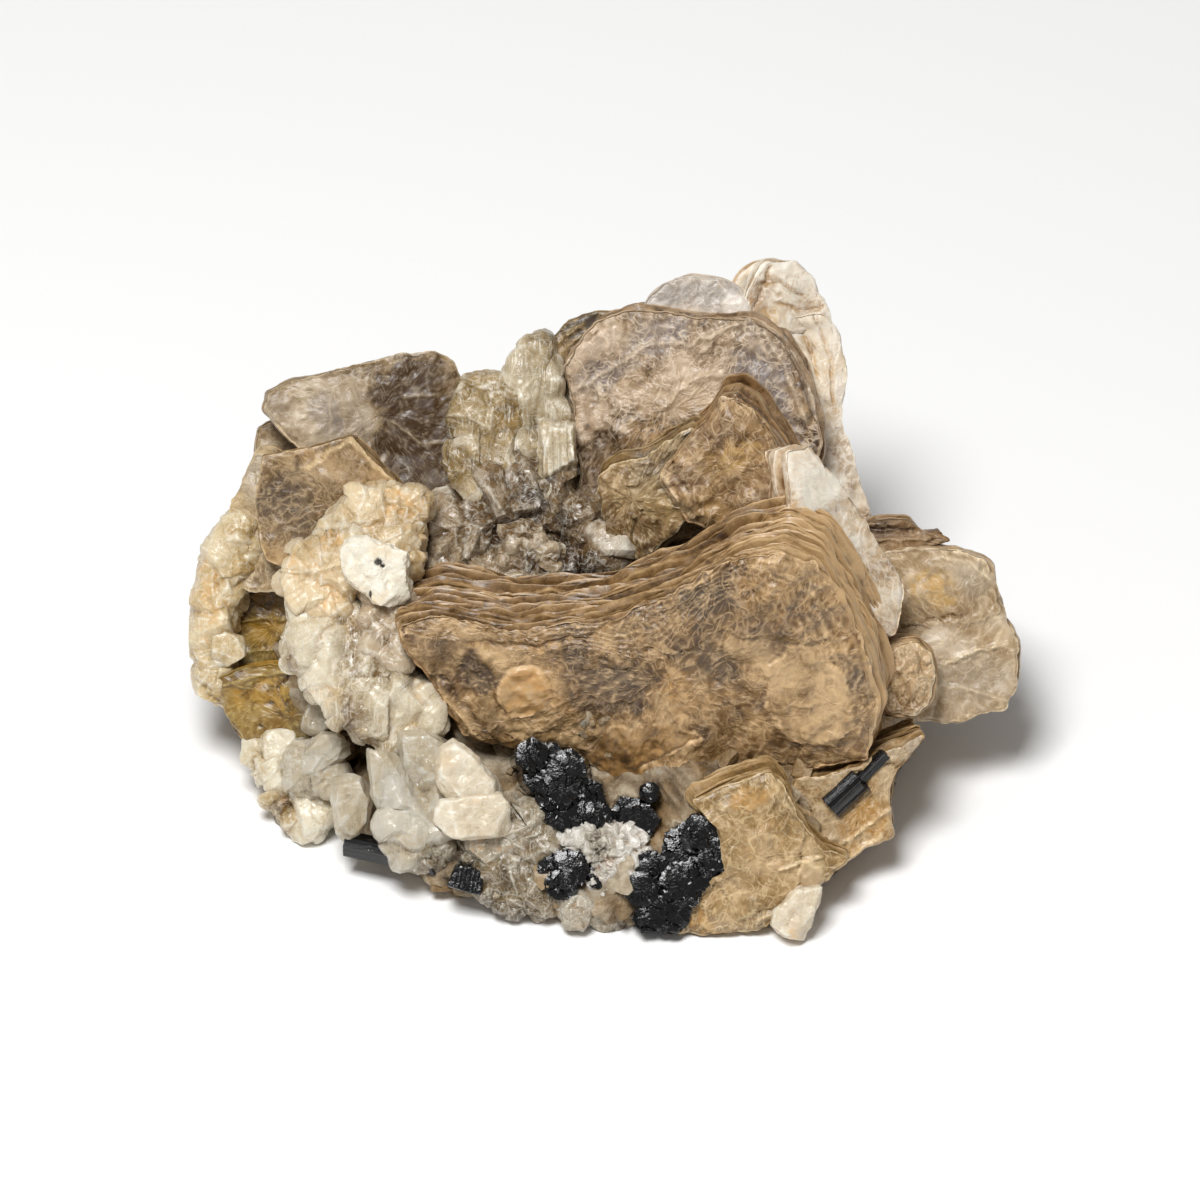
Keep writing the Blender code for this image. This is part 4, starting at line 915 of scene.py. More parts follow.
def feldspar(name, dark, body, light, stain=(205, 150, 72), rough=0.5, clear=0.0, ribs=None, haze=0.25,
             streaks=0.35):
    """Feldspar, albite and quartz: cloudy crystal, white along its veils, and rust stained where noise puts it,
    with the same colour in its hollows and creases as painted shade.
    ribs = (x, y, z) draws fine growth lines across that direction."""
    made, wires, shader = new_material(
        name, IOR=1.53, Coat_Weight=0.2, Coat_Roughness=0.15, Transmission_Weight=clear,
        Subsurface_Weight=haze, Subsurface_Radius=(0.0022, 0.0018, 0.0012), Subsurface_Scale=1.0)
    place = wires.mark("place", "Vector")
    mottle = wires.noise(place, 0.7, 5.0, 0.8)
    grain = wires.noise(place, 4.0, 5.0, 0.2, 0.65)
    lines = wires.group(LACE, Place=place, Scale=0.55)[0]
    value = wires.spread(grain, 0.3, wires.spread(mottle, 1.1, wires.mark("tone")))
    colour = wires.ramp(value, (0.05, shade(*dark)), (0.45, shade(*body)), (0.9, shade(*light)))
    # Stain colour where the gold mark is high: rust stain from noise, and painted shade in hollows and creases.
    rust_and_painted_shade = wires.times(wires.mark("gold"), wires.ranged(mottle, 0.38, 0.66), clamp=True)
    colour = wires.mix(wires.times(rust_and_painted_shade, 0.8), colour, shade(*stain))
    colour = wires.mix(wires.times(lines, 0.3), colour, shade(*VEIL))
    rim = wires.times(wires.mark("edge"), wires.ranged(mottle, 0.35, 0.6, 0.25, 0.8), clamp=True)
    rim = wires.maths("MAXIMUM", rim, wires.times(wires.group(STREAKS, Place=place)[0], streaks))
    colour = wires.mix(rim, colour, shade(*VEIL))
    colour = wires.mix(wires.mark("speck"), colour, shade(*SPECK))
    height = wires.maths("MULTIPLY_ADD", lines, 0.4, wires.times(grain, 0.5))
    if ribs:
        height = wires.maths("ADD", wires.noise(wires.stretched(place, *ribs), 1.0, 2.0), height)
    wires.finish(shader, colour, wires.ranged(grain, 0.3, 0.7, rough - 0.15, rough + 0.15), height, 0.7)
    return made


def tourmaline():
    """Black tourmaline: glossy black, ribbed along its prisms, with grey specks where noise peaks, partly a
    dusting and partly painted glints.
    """
    made, wires, shader = new_material("tourmaline_black_finish", IOR=1.62, Specular_IOR_Level=0.5)
    place = wires.mark("place", "Vector")
    ribs = wires.noise(wires.stretched(place, 5.0, 5.0, 0.35), 1.0, 3.0)
    grain = wires.noise(place, 6.0, 4.0, 0.0, 0.7)
    patches = wires.ranged(wires.noise(place, 0.8, 3.0), 0.58, 0.76)
    # Pale specks at grain peaks: a dusting, and painted glints that stand in for highlights.
    dust_and_glints = wires.times(wires.ranged(grain, 0.6, 0.66), patches)
    colour = wires.mix(wires.ranged(wires.noise(place, 0.9), 0.5, 0.8), shade(3, 3, 5), shade(18, 13, 11))
    colour = wires.mix(dust_and_glints, colour, shade(205, 200, 196))
    height = wires.maths("ADD", ribs, wires.times(grain, 0.2))
    wires.finish(shader, colour, wires.ranged(grain, 0.35, 0.7, 0.06, 0.26), height, 0.5, 0.0001)
    return made


def rock_finish():
    """The matrix: patches of cream feldspar, grey quartz and brown mica, each with its own gloss."""
    made, wires, shader = new_material("matrix_rock_finish", IOR=1.53, Subsurface_Weight=0.08,
                                       Subsurface_Radius=(0.002, 0.0015, 0.001))
    place = wires.mark("place", "Vector")
    patch = wires.noise(place, 0.22, 4.0, 1.2)
    mottle = wires.noise(place, 0.8, 5.0, 0.6)
    grain = wires.noise(place, 3.5, 5.0, 0.2, 0.7)
    value = wires.spread(grain, 0.6, wires.spread(mottle, 1.0, wires.mark("tone")))
    cream = wires.ramp(value, (0.05, shade(84, 66, 42)), (0.5, shade(142, 124, 98)),
                       (0.9, shade(194, 180, 156)))
    brown = wires.ramp(value, (0.1, shade(54, 38, 20)), (0.5, shade(104, 82, 52)),
                       (0.9, shade(158, 134, 98)))
    colour = wires.mix(wires.ranged(patch, 0.46, 0.56), cream, brown)
    colour = wires.mix(wires.ranged(patch, 0.40, 0.33), colour, shade(162, 152, 134))
    colour = wires.mix(wires.times(wires.mark("gold"), 0.5), colour, shade(164, 124, 66))
    colour = wires.mix(wires.times(wires.mark("edge"), 0.6), colour, shade(226, 206, 174))
    roughness = wires.ranged(patch, 0.35, 0.6, 0.5, 0.28)
    wires.finish(shader, colour, roughness, wires.maths("ADD", mottle, grain), 0.8, 0.00025)
    return made


def front_books():
    """The wide brown book across the front, the pale shoulder behind it and the tan books at its foot."""
    brown = mica("front_book_finish", (58, 34, 10), (122, 92, 52), (190, 158, 114), (228, 194, 148),
        gold=(182, 136, 76), grey=(84, 68, 50), lace_scale=0.3, line_strength=0.45, sheets=3.4)
    look = {"swell": 0.6, "flake": 0.6, "crumple": 0.3, "lace": 0.9, "loop_size": 2.8, "wall_light": 0.5,
            "ragged": 0.6, "round": 0.25, "cut": 0.05,
        "terraces": (5.5, 7, 0.13, (0.25, 1)),
        "discs": [((-7.5, -9), 2.5, 0.35, {"gold": 0.8, "tone": 0.8, "lace": -0.8, "grey": -1})],
        "sheets": [([(16.5, -7), (18.5, -4.6), (22, -4.8), (24.6, -7.5), (25.4, -12.5), (22.5, -14.4),
            (18.5, -13.8), (16.4, -11)], 0.35, {"tone": 0.24, "lace": -0.05, "gold": -0.2, "grey": -0.6}),
            ([(0.5, -13.2), (5, -11.8), (9.5, -13.2), (10.2, -13.8), (5, -16.4), (3.4, -19.4), (0.8, -18.6),
            (-1.5, -15.5)], 0.25, {"tone": 0.02, "lace": -0.7, "gold": 0.2}),
            ([(-20, -3.7), (-18, -2.8), (-14.5, -3.2), (-13.2, -5.6), (-15, -8.2), (-17.6, -6.6)], 0.3,
            {"tone": 0.05}),
            ([(4.5, -1.5), (9, 0.6), (13, 3.2), (18, 4), (21, 1), (22.5, -4), (18, -4), (12, -3), (8, -5.5),
            (4, -4.5)], 0.45, {"tone": -0.02, "lace": 0.2})],
        "blobs": [((1.2, -9), (3.4, 2.8), 0, -0.4, {"tone": -0.55, "grey": 0.7, "lace": -0.35}),
            ((-12.4, -7.5), (1.7, 2.2), 0.3, -0.4, {"tone": -0.6, "grey": 0.4, "lace": -0.3}),
            ((-3.5, -6), (2.6, 1.6), 0.2, -0.2, {"tone": -0.15, "grey": 0.3}),
            ((7.6, -8.6), (1.2, 2.6), 0.1, 0.1, {"gold": 0.35, "tone": 0.04}),
            ((11.5, -6.4), (2, 1.8), 0, -0.3, {"grey": 0.7, "tone": -0.12}),
            ((18.6, -1.8), (1.5, 1.3), 0.2, -0.35, {"tone": -0.3, "gold": 0.2}),
            ((10.5, -0.5), (3, 1.3), 0.2, -0.2, {"grey": 0.6, "tone": -0.1}),
            ((-15.8, -5), (2, 1.6), 0.3, -0.1, {"tone": -0.25, "grey": 0.3}),
            ((24.6, -8), (1.1, 2.6), 0.2, 0, {"grey": 0.7, "tone": 0.1}),
            ((3, -17), (5, 3), 0.1, 0, {"tone": -0.02, "gold": 0.25})],
        "lines": [([(-17.6, -8), (-14, -11.4), (-10.6, -15.6)], 0.22, 0.25, {"edge": 0.9}),
            ([(-16.6, -7.6), (-13.4, -10.6), (-10, -14.4)], 0.22, -0.3, {"tone": -0.4}),
            ([(4, -16.8), (7, -15.2), (10, -13.6)], 0.16, -0.3, {"edge": 0.9}),
            ([(-13, -4.4), (-6, -4.6), (-1, -4), (4, 0)], 0.3, -0.4, {"tone": -0.3, "gold": 0.4})]}
    book("front_book", brown, [(-20.3, -3), (-16.5, -2), (-9, -3.3), (0, -2.6), (7, -0.2),
        (13, 3.4), (18, 4.6), (21.5, 3), (24.2, -1.5), (26.5, -6), (27.5, -11), (26.6, -16.2), (19, -17.2),
        (12.5, -16.8), (6, -20.2), (1.5, -18.6), (-3, -15), (-10, -14.2), (-13.8, -13.4)], 11, (0.12, 0.6),
        10, look, (0, 0.5, 0.2, 0.8), seed=11, sheets=28, fine=0.206)
    pale = mica("shoulder_book_finish", (126, 92, 56), (204, 180, 148), (234, 226, 210), (252, 246, 232),
        lace_scale=0.3)
    look = {"swell": 0.3, "flake": 0.4, "lace": 0.5,
        "blobs": [((22, 9), (2.4, 6.5), 0.55, 0, {"tone": 0.35}),
            ((27.5, 1), (3, 4), 0.4, 0, {"tone": -0.16}),
            ((19.6, 7), (1, 4.5), 0.4, 0, {"tone": -0.25, "gold": 0.5})]}
    book("shoulder_book", pale, [(18.2, 14.6), (20.6, 15.4), (23.4, 12.2), (26.4, 8),
        (28.8, 4.4), (30.4, 1.2), (29.5, -4), (25, -2), (19, 6)], 9.5, (-0.6, 0.1), 5, look, (0, -0.3),
        seed=23, sheets=7)
    tan = mica("foot_book_finish", (94, 68, 24), (141, 111, 64), (182, 152, 110), (238, 212, 166),
        gold=(180, 136, 72), grey=(186, 170, 146))
    look = {"swell": 0.4, "flake": 0.5, "lace": 0.55, "crumple": 0.15,
        "sheets": [([(17.2, -17.1), (18.6, -20), (20.2, -23.8), (19.4, -29), (14, -31.4), (11.4, -27),
            (12.2, -23.4), (9.8, -21.2)], 0.5, {"tone": 0.08}),
            ([(17.2, -17.4), (17.6, -20.2), (14.4, -20.8), (12, -20.6)], 0.25, {"tone": 0.12}),
            ([(20, -25.6), (22.2, -26.4), (21.6, -29.2), (19, -30.2)], 0.3, {"tone": 0.4, "lace": -0.4})],
        "blobs": [((15, -19.4), (2.4, 1.2), 0.3, 0, {"gold": 0.9}),
            ((10, -32), (3.5, 1.4), 0, 0, {"gold": 0.6, "tone": -0.1}),
            ((21, -27.6), (1.3, 1.8), 0.4, 0.2, {"tone": 0.5, "grey": 0.3}),
            ((17, -24), (2.2, 2.6), 0, 0, {"gold": 0.3, "tone": 0.04})],
        "lines": [([(18, -26.8), (22, -25.4)], 0.18, 0.3, {"edge": 0.9}),
            ([(15.5, -32), (19, -29.8)], 0.2, 0.25, {"edge": 0.7})]}
    book("foot_book", tan, [(9, -20), (12, -18.5), (16.8, -16.8), (18.2, -18), (19.6, -21.5),
        (22, -24.5), (24.8, -25.8), (22.6, -27.8), (19, -30.5), (16.5, -32.6), (11, -33.6), (6.2, -33.2),
        (9, -30), (12.4, -26.5), (11.6, -22.5)], 11.2, (-0.05, 0.22), 7, look, (0, 0.5, 0.2), seed=31,
        sheets=9)
    golden = mica("right_foot_book_finish", (92, 62, 22), (146, 114, 68), (190, 168, 136), (240, 214, 168),
        gold=(166, 122, 58), grey=(172, 158, 138))
    look = {"swell": 0.4, "flake": 0.5, "lace": 0.4,
        "blobs": [((26.6, -22.6), (2.6, 2.4), 0.2, 0.2, {"gold": 1}),
            ((30.5, -14.6), (2.2, 1.2), 0.3, 0, {"grey": 0.7, "tone": 0.1})],
        "lines": [([(24, -24.4), (28.8, -20.6)], 0.2, 0.3, {"edge": 0.8}),
            ([(23.5, -26.6), (27.8, -23.4)], 0.2, 0.3, {"edge": 0.8})]}
    book("right_foot_book", golden, [(19, -18), (24, -17), (28.2, -15), (32.6, -13.2),
        (29.6, -17.2), (29, -20), (29.4, -23.6), (26.4, -24.8), (23.4, -27.4), (20, -26)], 6.8, (-0.15, 0.2),
        8, look, (0, 0.6, 0.1), seed=37, sheets=9)


def right_books():
    """The far right book with its stepped top, and the small rounded book that sits in front of it."""
    tan = mica("far_right_book_finish", (118, 88, 50), (162, 136, 102), (198, 180, 156), (236, 216, 180),
        gold=(186, 148, 84), grey=(150, 132, 108), lace_scale=0.3, shine=0.3)
    look = {"swell": 0.45, "flake": 0.35, "lace": 0.35, "crumple": 0.12,
        "sheets": [([(24, 2.6), (29.5, 4.6), (34.4, 4.8), (38, 3.6), (39.4, 1), (40.2, -1.4), (36, -2.6),
            (30.5, -2.6), (24, -2)], 0.4, {"tone": -0.06, "gold": 0.1}),
            ([(33.8, -6.8), (37, -5.6), (41.4, -4.4), (41.8, -8.2), (40.6, -10.6), (36.4, -12), (33, -11.8)],
            -0.35, {"tone": -0.08, "grey": 0.25})],
        "blobs": [((33.4, 1), (2.4, 2), 0.2, 0, {"gold": 0.9, "tone": 0.12}),
            ((37.6, 1.6), (1.4, 1.6), 0, 0, {"grey": 0.9, "tone": -0.08}),
            ((37.5, -7.6), (3.4, 2.2), 0.2, 0, {"grey": 0.8}),
            ((33, -3.6), (2.6, 1.6), 0.1, 0, {"tone": 0.1}), ((41, -8), (1.3, 2.6), 0, 0, {"tone": 0.25})],
        "lines": [([(35, 5.2), (37.2, 4.6), (39.6, 3.2)], 0.24, 0.3, {"edge": 1}),
            ([(34.4, 4.4), (36.8, 3.8), (39, 2)], 0.2, 0.2, {"edge": 0.8}),
            ([(30.4, -2.6), (34.6, -1.7), (36.5, -1.5)], 0.18, -0.35, {"tone": -0.5}),
            ([(34, -6.6), (37.5, -5), (41, -4.4)], 0.22, 0.3, {"edge": 0.6}),
            ([(33.5, -8.4), (38, -9.2), (41.2, -10)], 0.2, 0.2, {"edge": 0.4})]}
    book("far_right_book", tan, [(24, 4), (30, 5.2), (35.6, 5.2), (38.8, 4.2), (39.9, 1.5),
        (40.6, -1), (42, -4.5), (42, -8.2), (40.8, -10.9), (38.4, -11.4), (36, -12.4), (33, -12.2), (27, -12),
        (23, -8)], -1.2, (-0.03, 0.06), 8, look, (0, -0.1, -0.4, -0.1), seed=41, sheets=11)
    brown = mica("right_ledge_finish", (62, 38, 16), (120, 90, 56), (168, 140, 102), (214, 186, 148),
        lace_scale=0.3)
    look = {"swell": 0.25, "lace": 0.3,
        "lines": [([(24.5, 7), (28, 7.2), (31.5, 7)], 0.3, -0.5, {"tone": -0.45}),
            ([(25, 6.2), (30, 6), (33, 6.2)], 0.25, 0.3, {"edge": 0.4})]}
    book("right_ledge_book", brown, [(24, 5.5), (27.4, 8.1), (31, 8.2), (32.4, 6.8),
        (35.5, 5.9), (30, 4.4)], -2.4, (-0.1, 0.12), 6, look, (0, -0.3), seed=43, sheets=8)
    rounded = mica("round_book_finish", (126, 94, 54), (171, 142, 104), (202, 174, 138), (240, 218, 180),
        gold=(206, 160, 92), lace_scale=0.5)
    look = {"swell": 0.3, "flake": 0.8, "flake_size": 3, "lace": 0.6, "rim": 0.9,
        "sheets": [([(29.2, -6.6), (31.4, -5.4), (32.6, -7.4), (32.2, -9.8), (30, -10.6), (28.9, -8.8)], 0.5,
            {"tone": 0.05}),
            ([(30, -7.4), (31.4, -6.6), (31.9, -8), (31.2, -9.4), (30, -9.2)], 0.4, {"tone": 0.1})]}
    book("round_book", rounded, [(28, -6.2), (29.6, -4.4), (31.8, -4), (33.2, -5.4), (33.7, -7.6),
        (33.2, -10), (31.6, -11.6), (29, -11.4), (27.9, -9.2)], 4.6, (-0.1, 0.1), 5, look, (0, 0.3, 0.4),
        seed=47, sheets=8)


def back_books():
    """The books that stand along the top, from the dark one beside the columns to the pale right corner."""
    tan = mica("middle_book_finish", (72, 42, 10), (134, 101, 62), (180, 148, 108), (228, 200, 160),
        gold=(170, 134, 78), grey=(108, 86, 66))
    look = {"swell": 0.5, "flake": 0.6, "lace": 0.6, "crumple": 0.25,
        "terraces": (2.6, 4, 0.15, (-0.7, 0.8)), "cut": 0.06, "round": 0.2,
        "sheets": [([(9, 16.2), (11.8, 19.6), (13.4, 20), (15.2, 18.8), (18, 14.8), (20, 10.4), (17, 7.4),
            (13, 6.8), (9.4, 8.4), (6.6, 12)], 0.6, {"tone": -0.02})],
        "blobs": [((12.8, 14.2), (3.4, 1.4), 0.5, 0, {"gold": 1, "tone": 0.12}),
            ((10, 12.6), (2, 1.4), 0.4, 0, {"grey": 0.6, "tone": -0.1}),
            ((16.6, 9), (2.8, 1.8), 0.2, 0, {"grey": 0.5, "tone": -0.12}),
            ((12, 8.6), (2.4, 1.2), 0.2, 0, {"gold": 0.4, "tone": -0.1})],
        "lines": [([(6.2, 12.4), (9.2, 8)], 0.2, 0.3, {"edge": 0.8}),
            ([(7.2, 13.4), (10.4, 8.6)], 0.2, -0.3, {"tone": -0.3})]}
    book("middle_book", tan, [(5.6, 12.2), (10.2, 17.5), (11.8, 20), (13.4, 20.3), (15.2, 19),
        (18, 15), (20.2, 10.4), (17, 7), (12, 6.4), (8.4, 7.8)], 6.4, (0.15, 0.3), 8, look,
        (0, 0.1, -0.3, 0.2), seed=53, sheets=11)
    olive = mica("middle_step_finish", (54, 28, 4), (108, 78, 34), (168, 138, 96), (222, 200, 160),
        gold=(176, 146, 82), grey=(150, 138, 112))
    look = {"swell": 0.6, "flake": 0.8, "flake_size": 4, "lace": 0.3, "rim": 0.8, "crumple": 0.15,
        "blobs": [((1.2, 11), (1.6, 3), 0, 0.2, {"tone": 0.14})]}
    book("middle_step_book", olive, [(-0.1, 12.4), (1.6, 13.8), (4, 14), (9.5, 17.5), (9, 8),
        (4, 3.6), (1.2, 4.4), (0.6, 6.8), (0, 9.6)], 2.2, (0.2, 0.3), 6.5, look, (0, 0.5, -0.2), seed=59,
        sheets=9)
    large = mica("back_right_book_finish", (58, 34, 6), (152, 127, 98), (194, 171, 144), (228, 206, 178),
        gold=(188, 148, 92), grey=(128, 116, 110))
    look = {"swell": 0.6, "flake": 0.55, "lace": 0.75, "crumple": 0.22,
        "sheets": [([(-3.7, 23.2), (-2.2, 25.4), (0.2, 27.8), (2.6, 28.8), (2.2, 26), (-0.6, 23.6),
            (-2.2, 21)], 0.3, {"tone": 0.14}),
            ([(15.6, 27.4), (18, 26), (20, 22.6), (21, 19.6), (21.6, 15), (19.6, 15.4), (18.8, 20),
            (17, 23.6)], -0.4, {"tone": 0.02, "gold": 0.25})],
        "blobs": [((5.4, 26.4), (3.2, 1.8), 0.3, -0.15, {"grey": 1, "tone": -0.12}),
            ((15.8, 21.4), (3, 3.2), 0.8, -0.15, {"grey": 1, "tone": -0.16}),
            ((17.6, 17.4), (2.2, 3), 0.6, -0.1, {"grey": 0.8, "tone": -0.12}),
            ((0.2, 22.6), (3, 1.4), 0.4, -0.1, {"grey": 0.8, "tone": -0.1}),
            # The tone of these two blobs darkens the book's lower left as painted shade; their other marks take
            # out lace and grey there.
            ((4, 14), (5.4, 3.2), 0.5, 0, {"tone": -0.4, "gold": 0.2, "lace": -0.2}),
            ((0, 11), (3.4, 5.6), 0, 0, {"tone": -0.7, "gold": 0.1, "grey": -0.5, "lace": -0.4}),
            ((7, 21), (4, 2.4), 0.2, 0.1, {"tone": 0.12}), ((14, 26.6), (3, 1.4), -0.3, 0.1, {"tone": 0.14})],
        "lines": [([(-3, 20.6), (1.5, 23.4), (5, 25.4), (9, 25.6), (14, 27.6)], 0.28, 0.3, {"edge": 0.6}),
            ([(6, 19), (10, 22.6), (14.5, 22)], 0.25, 0.2, {"edge": 0.4}),
            ([(16.4, 26.6), (19, 22), (20.6, 17.6)], 0.2, 0.3, {"edge": 0.8}),
            ([(17.6, 26.4), (19.8, 22.4), (21.2, 18.4)], 0.2, -0.3, {"tone": -0.4})]}
    book("back_right_book", large, [(-3.9, 23.4), (-2.4, 25.6), (0, 28), (3.6, 29.2), (9, 28.2),
        (15, 28.2), (18.2, 26.4), (20.2, 23), (21.2, 20), (22.2, 16.8), (21, 10), (10, 6), (0.4, 5.4),
        (-3, 7.4), (-1.8, 13), (-2.8, 16), (-2.6, 19)], -2.2, (0.1, 0.12), 7, look, (0, 0.3, -0.2, 0.1),
        seed=61, sheets=9)
    grey = mica("top_lobe_finish", (140, 122, 104), (184, 171, 156), (214, 203, 190), (236, 228, 216),
        grey=(140, 132, 126), lace_scale=0.35)
    look = {"swell": 0.25, "flake": 0.3, "lace": 0.45,
        "blobs": [((9, 30.6), (4, 1.2), 0, 0, {"grey": 0.7}),
            ((14, 29.4), (1.3, 1.6), 0.6, 0.2, {"tone": 0.5, "grey": -0.5})]}
    book("top_lobe_book", grey, [(4.2, 29.4), (4.8, 30.4), (6.2, 31.8), (9, 32.6), (12, 32.4),
        (14.2, 31.2), (15.4, 28.6), (14.5, 24), (5, 24)], -4.8, (0, 0.05), 4.5, look, (0, -0.2), seed=67,
        sheets=7)
    white = mica("pale_top_finish", (164, 132, 94), (226, 212, 190), (240, 234, 222), (252, 246, 234),
        gold=(206, 170, 112), grey=(190, 178, 160), lace_scale=0.28)
    look = {"swell": 0.35, "flake": 0.5, "lace": 0.4,
        "blobs": [((15.6, 30.6), (0.8, 3), 0.4, 0, {"tone": -0.5}),
            ((17.4, 28.6), (1.6, 1), 0.2, 0, {"tone": -0.25, "gold": 0.6})],
        "lines": [([(16, 31.6), (18, 32), (20.6, 30.6)], 0.18, -0.3, {"tone": -0.6}),
            ([(15.4, 29), (17.4, 33.4)], 0.2, -0.4, {"tone": -0.6}),
            ([(17.6, 30), (20, 29), (22.4, 29.6)], 0.16, -0.3, {"tone": -0.5, "gold": 0.4})]}
    book("pale_top_book", white, [(14.5, 30.2), (15.4, 32.6), (16.8, 34.1), (20, 34.2),
        (21.6, 32.4), (23, 29.6), (23.6, 27), (19, 26.6), (15, 27.4)], -6.4, (-0.35, 0), 6, look,
        (0, -0.2, 0.1), seed=71, sheets=8)
    look = {"swell": 0.45, "flake": 0.5, "lace": 0.55,
        "blobs": [((21, 27.6), (2.4, 2), 0.2, 0, {"tone": 0.3}),
            ((25.8, 9.6), (1.6, 3.4), 0.1, 0, {"tone": -0.4}),
            ((24.8, 14.6), (1.2, 2.4), 0.1, 0, {"tone": -0.28}),
            ((22.4, 21), (1.6, 3), 0, 0, {"tone": -0.12, "gold": 0.4})],
        "lines": [([(19.4, 28.6), (21, 26), (22, 22.6)], 0.2, -0.3, {"tone": -0.5, "gold": 0.5}),
            ([(21.6, 28.6), (23.2, 24.6), (23.4, 20)], 0.18, -0.3, {"tone": -0.35})]}
    book("right_corner_book", white, [(17, 28), (22.8, 29.4), (24.2, 26.6), (24.9, 23),
        (24.6, 20.4), (24.2, 18), (25.4, 15.6), (25.9, 12.8), (26.6, 10.4), (27.5, 8.6), (26.6, 7), (20, 6),
        (17, 14)], -8, (-0.25, 0.05), 6.5, look, (0, 0.3, 0), seed=73, sheets=9)
    dark = mica("dark_back_finish", (52, 34, 8), (112, 88, 52), (176, 150, 112), (206, 180, 136),
        gold=(156, 122, 54), grey=(96, 86, 66), lace_scale=0.3)
    look = {"swell": 0.3, "flake": 0.5, "lace": 0.3,
        "blobs": [((-2.8, 27.4), (2.6, 1), 0.5, 0, {"tone": -0.25}),
            ((-4, 21), (1.4, 3), 0, 0, {"tone": 0.08, "gold": 0.3})],
        "lines": [([(-5.2, 24.2), (-3.6, 26.4), (-1.6, 27.8)], 0.16, 0.3, {"edge": 0.7}),
            ([(-4.8, 23.2), (-3.2, 25.4), (-1.2, 26.8)], 0.16, 0.2, {"edge": 0.6}),
            ([(-4.6, 22.4), (-3, 24.2)], 0.14, 0.2, {"edge": 0.5})]}
    book("dark_back_book", dark, [(-5.6, 24), (-4.9, 26.4), (-3, 28.2), (-0.6, 29.1), (2, 28.9),
        (1, 24), (0, 17), (-4.4, 18.2), (-6.4, 21.5)], -4.6, (0.05, 0.03), 5, look, (0, -0.2, -0.4), seed=79,
        sheets=8)


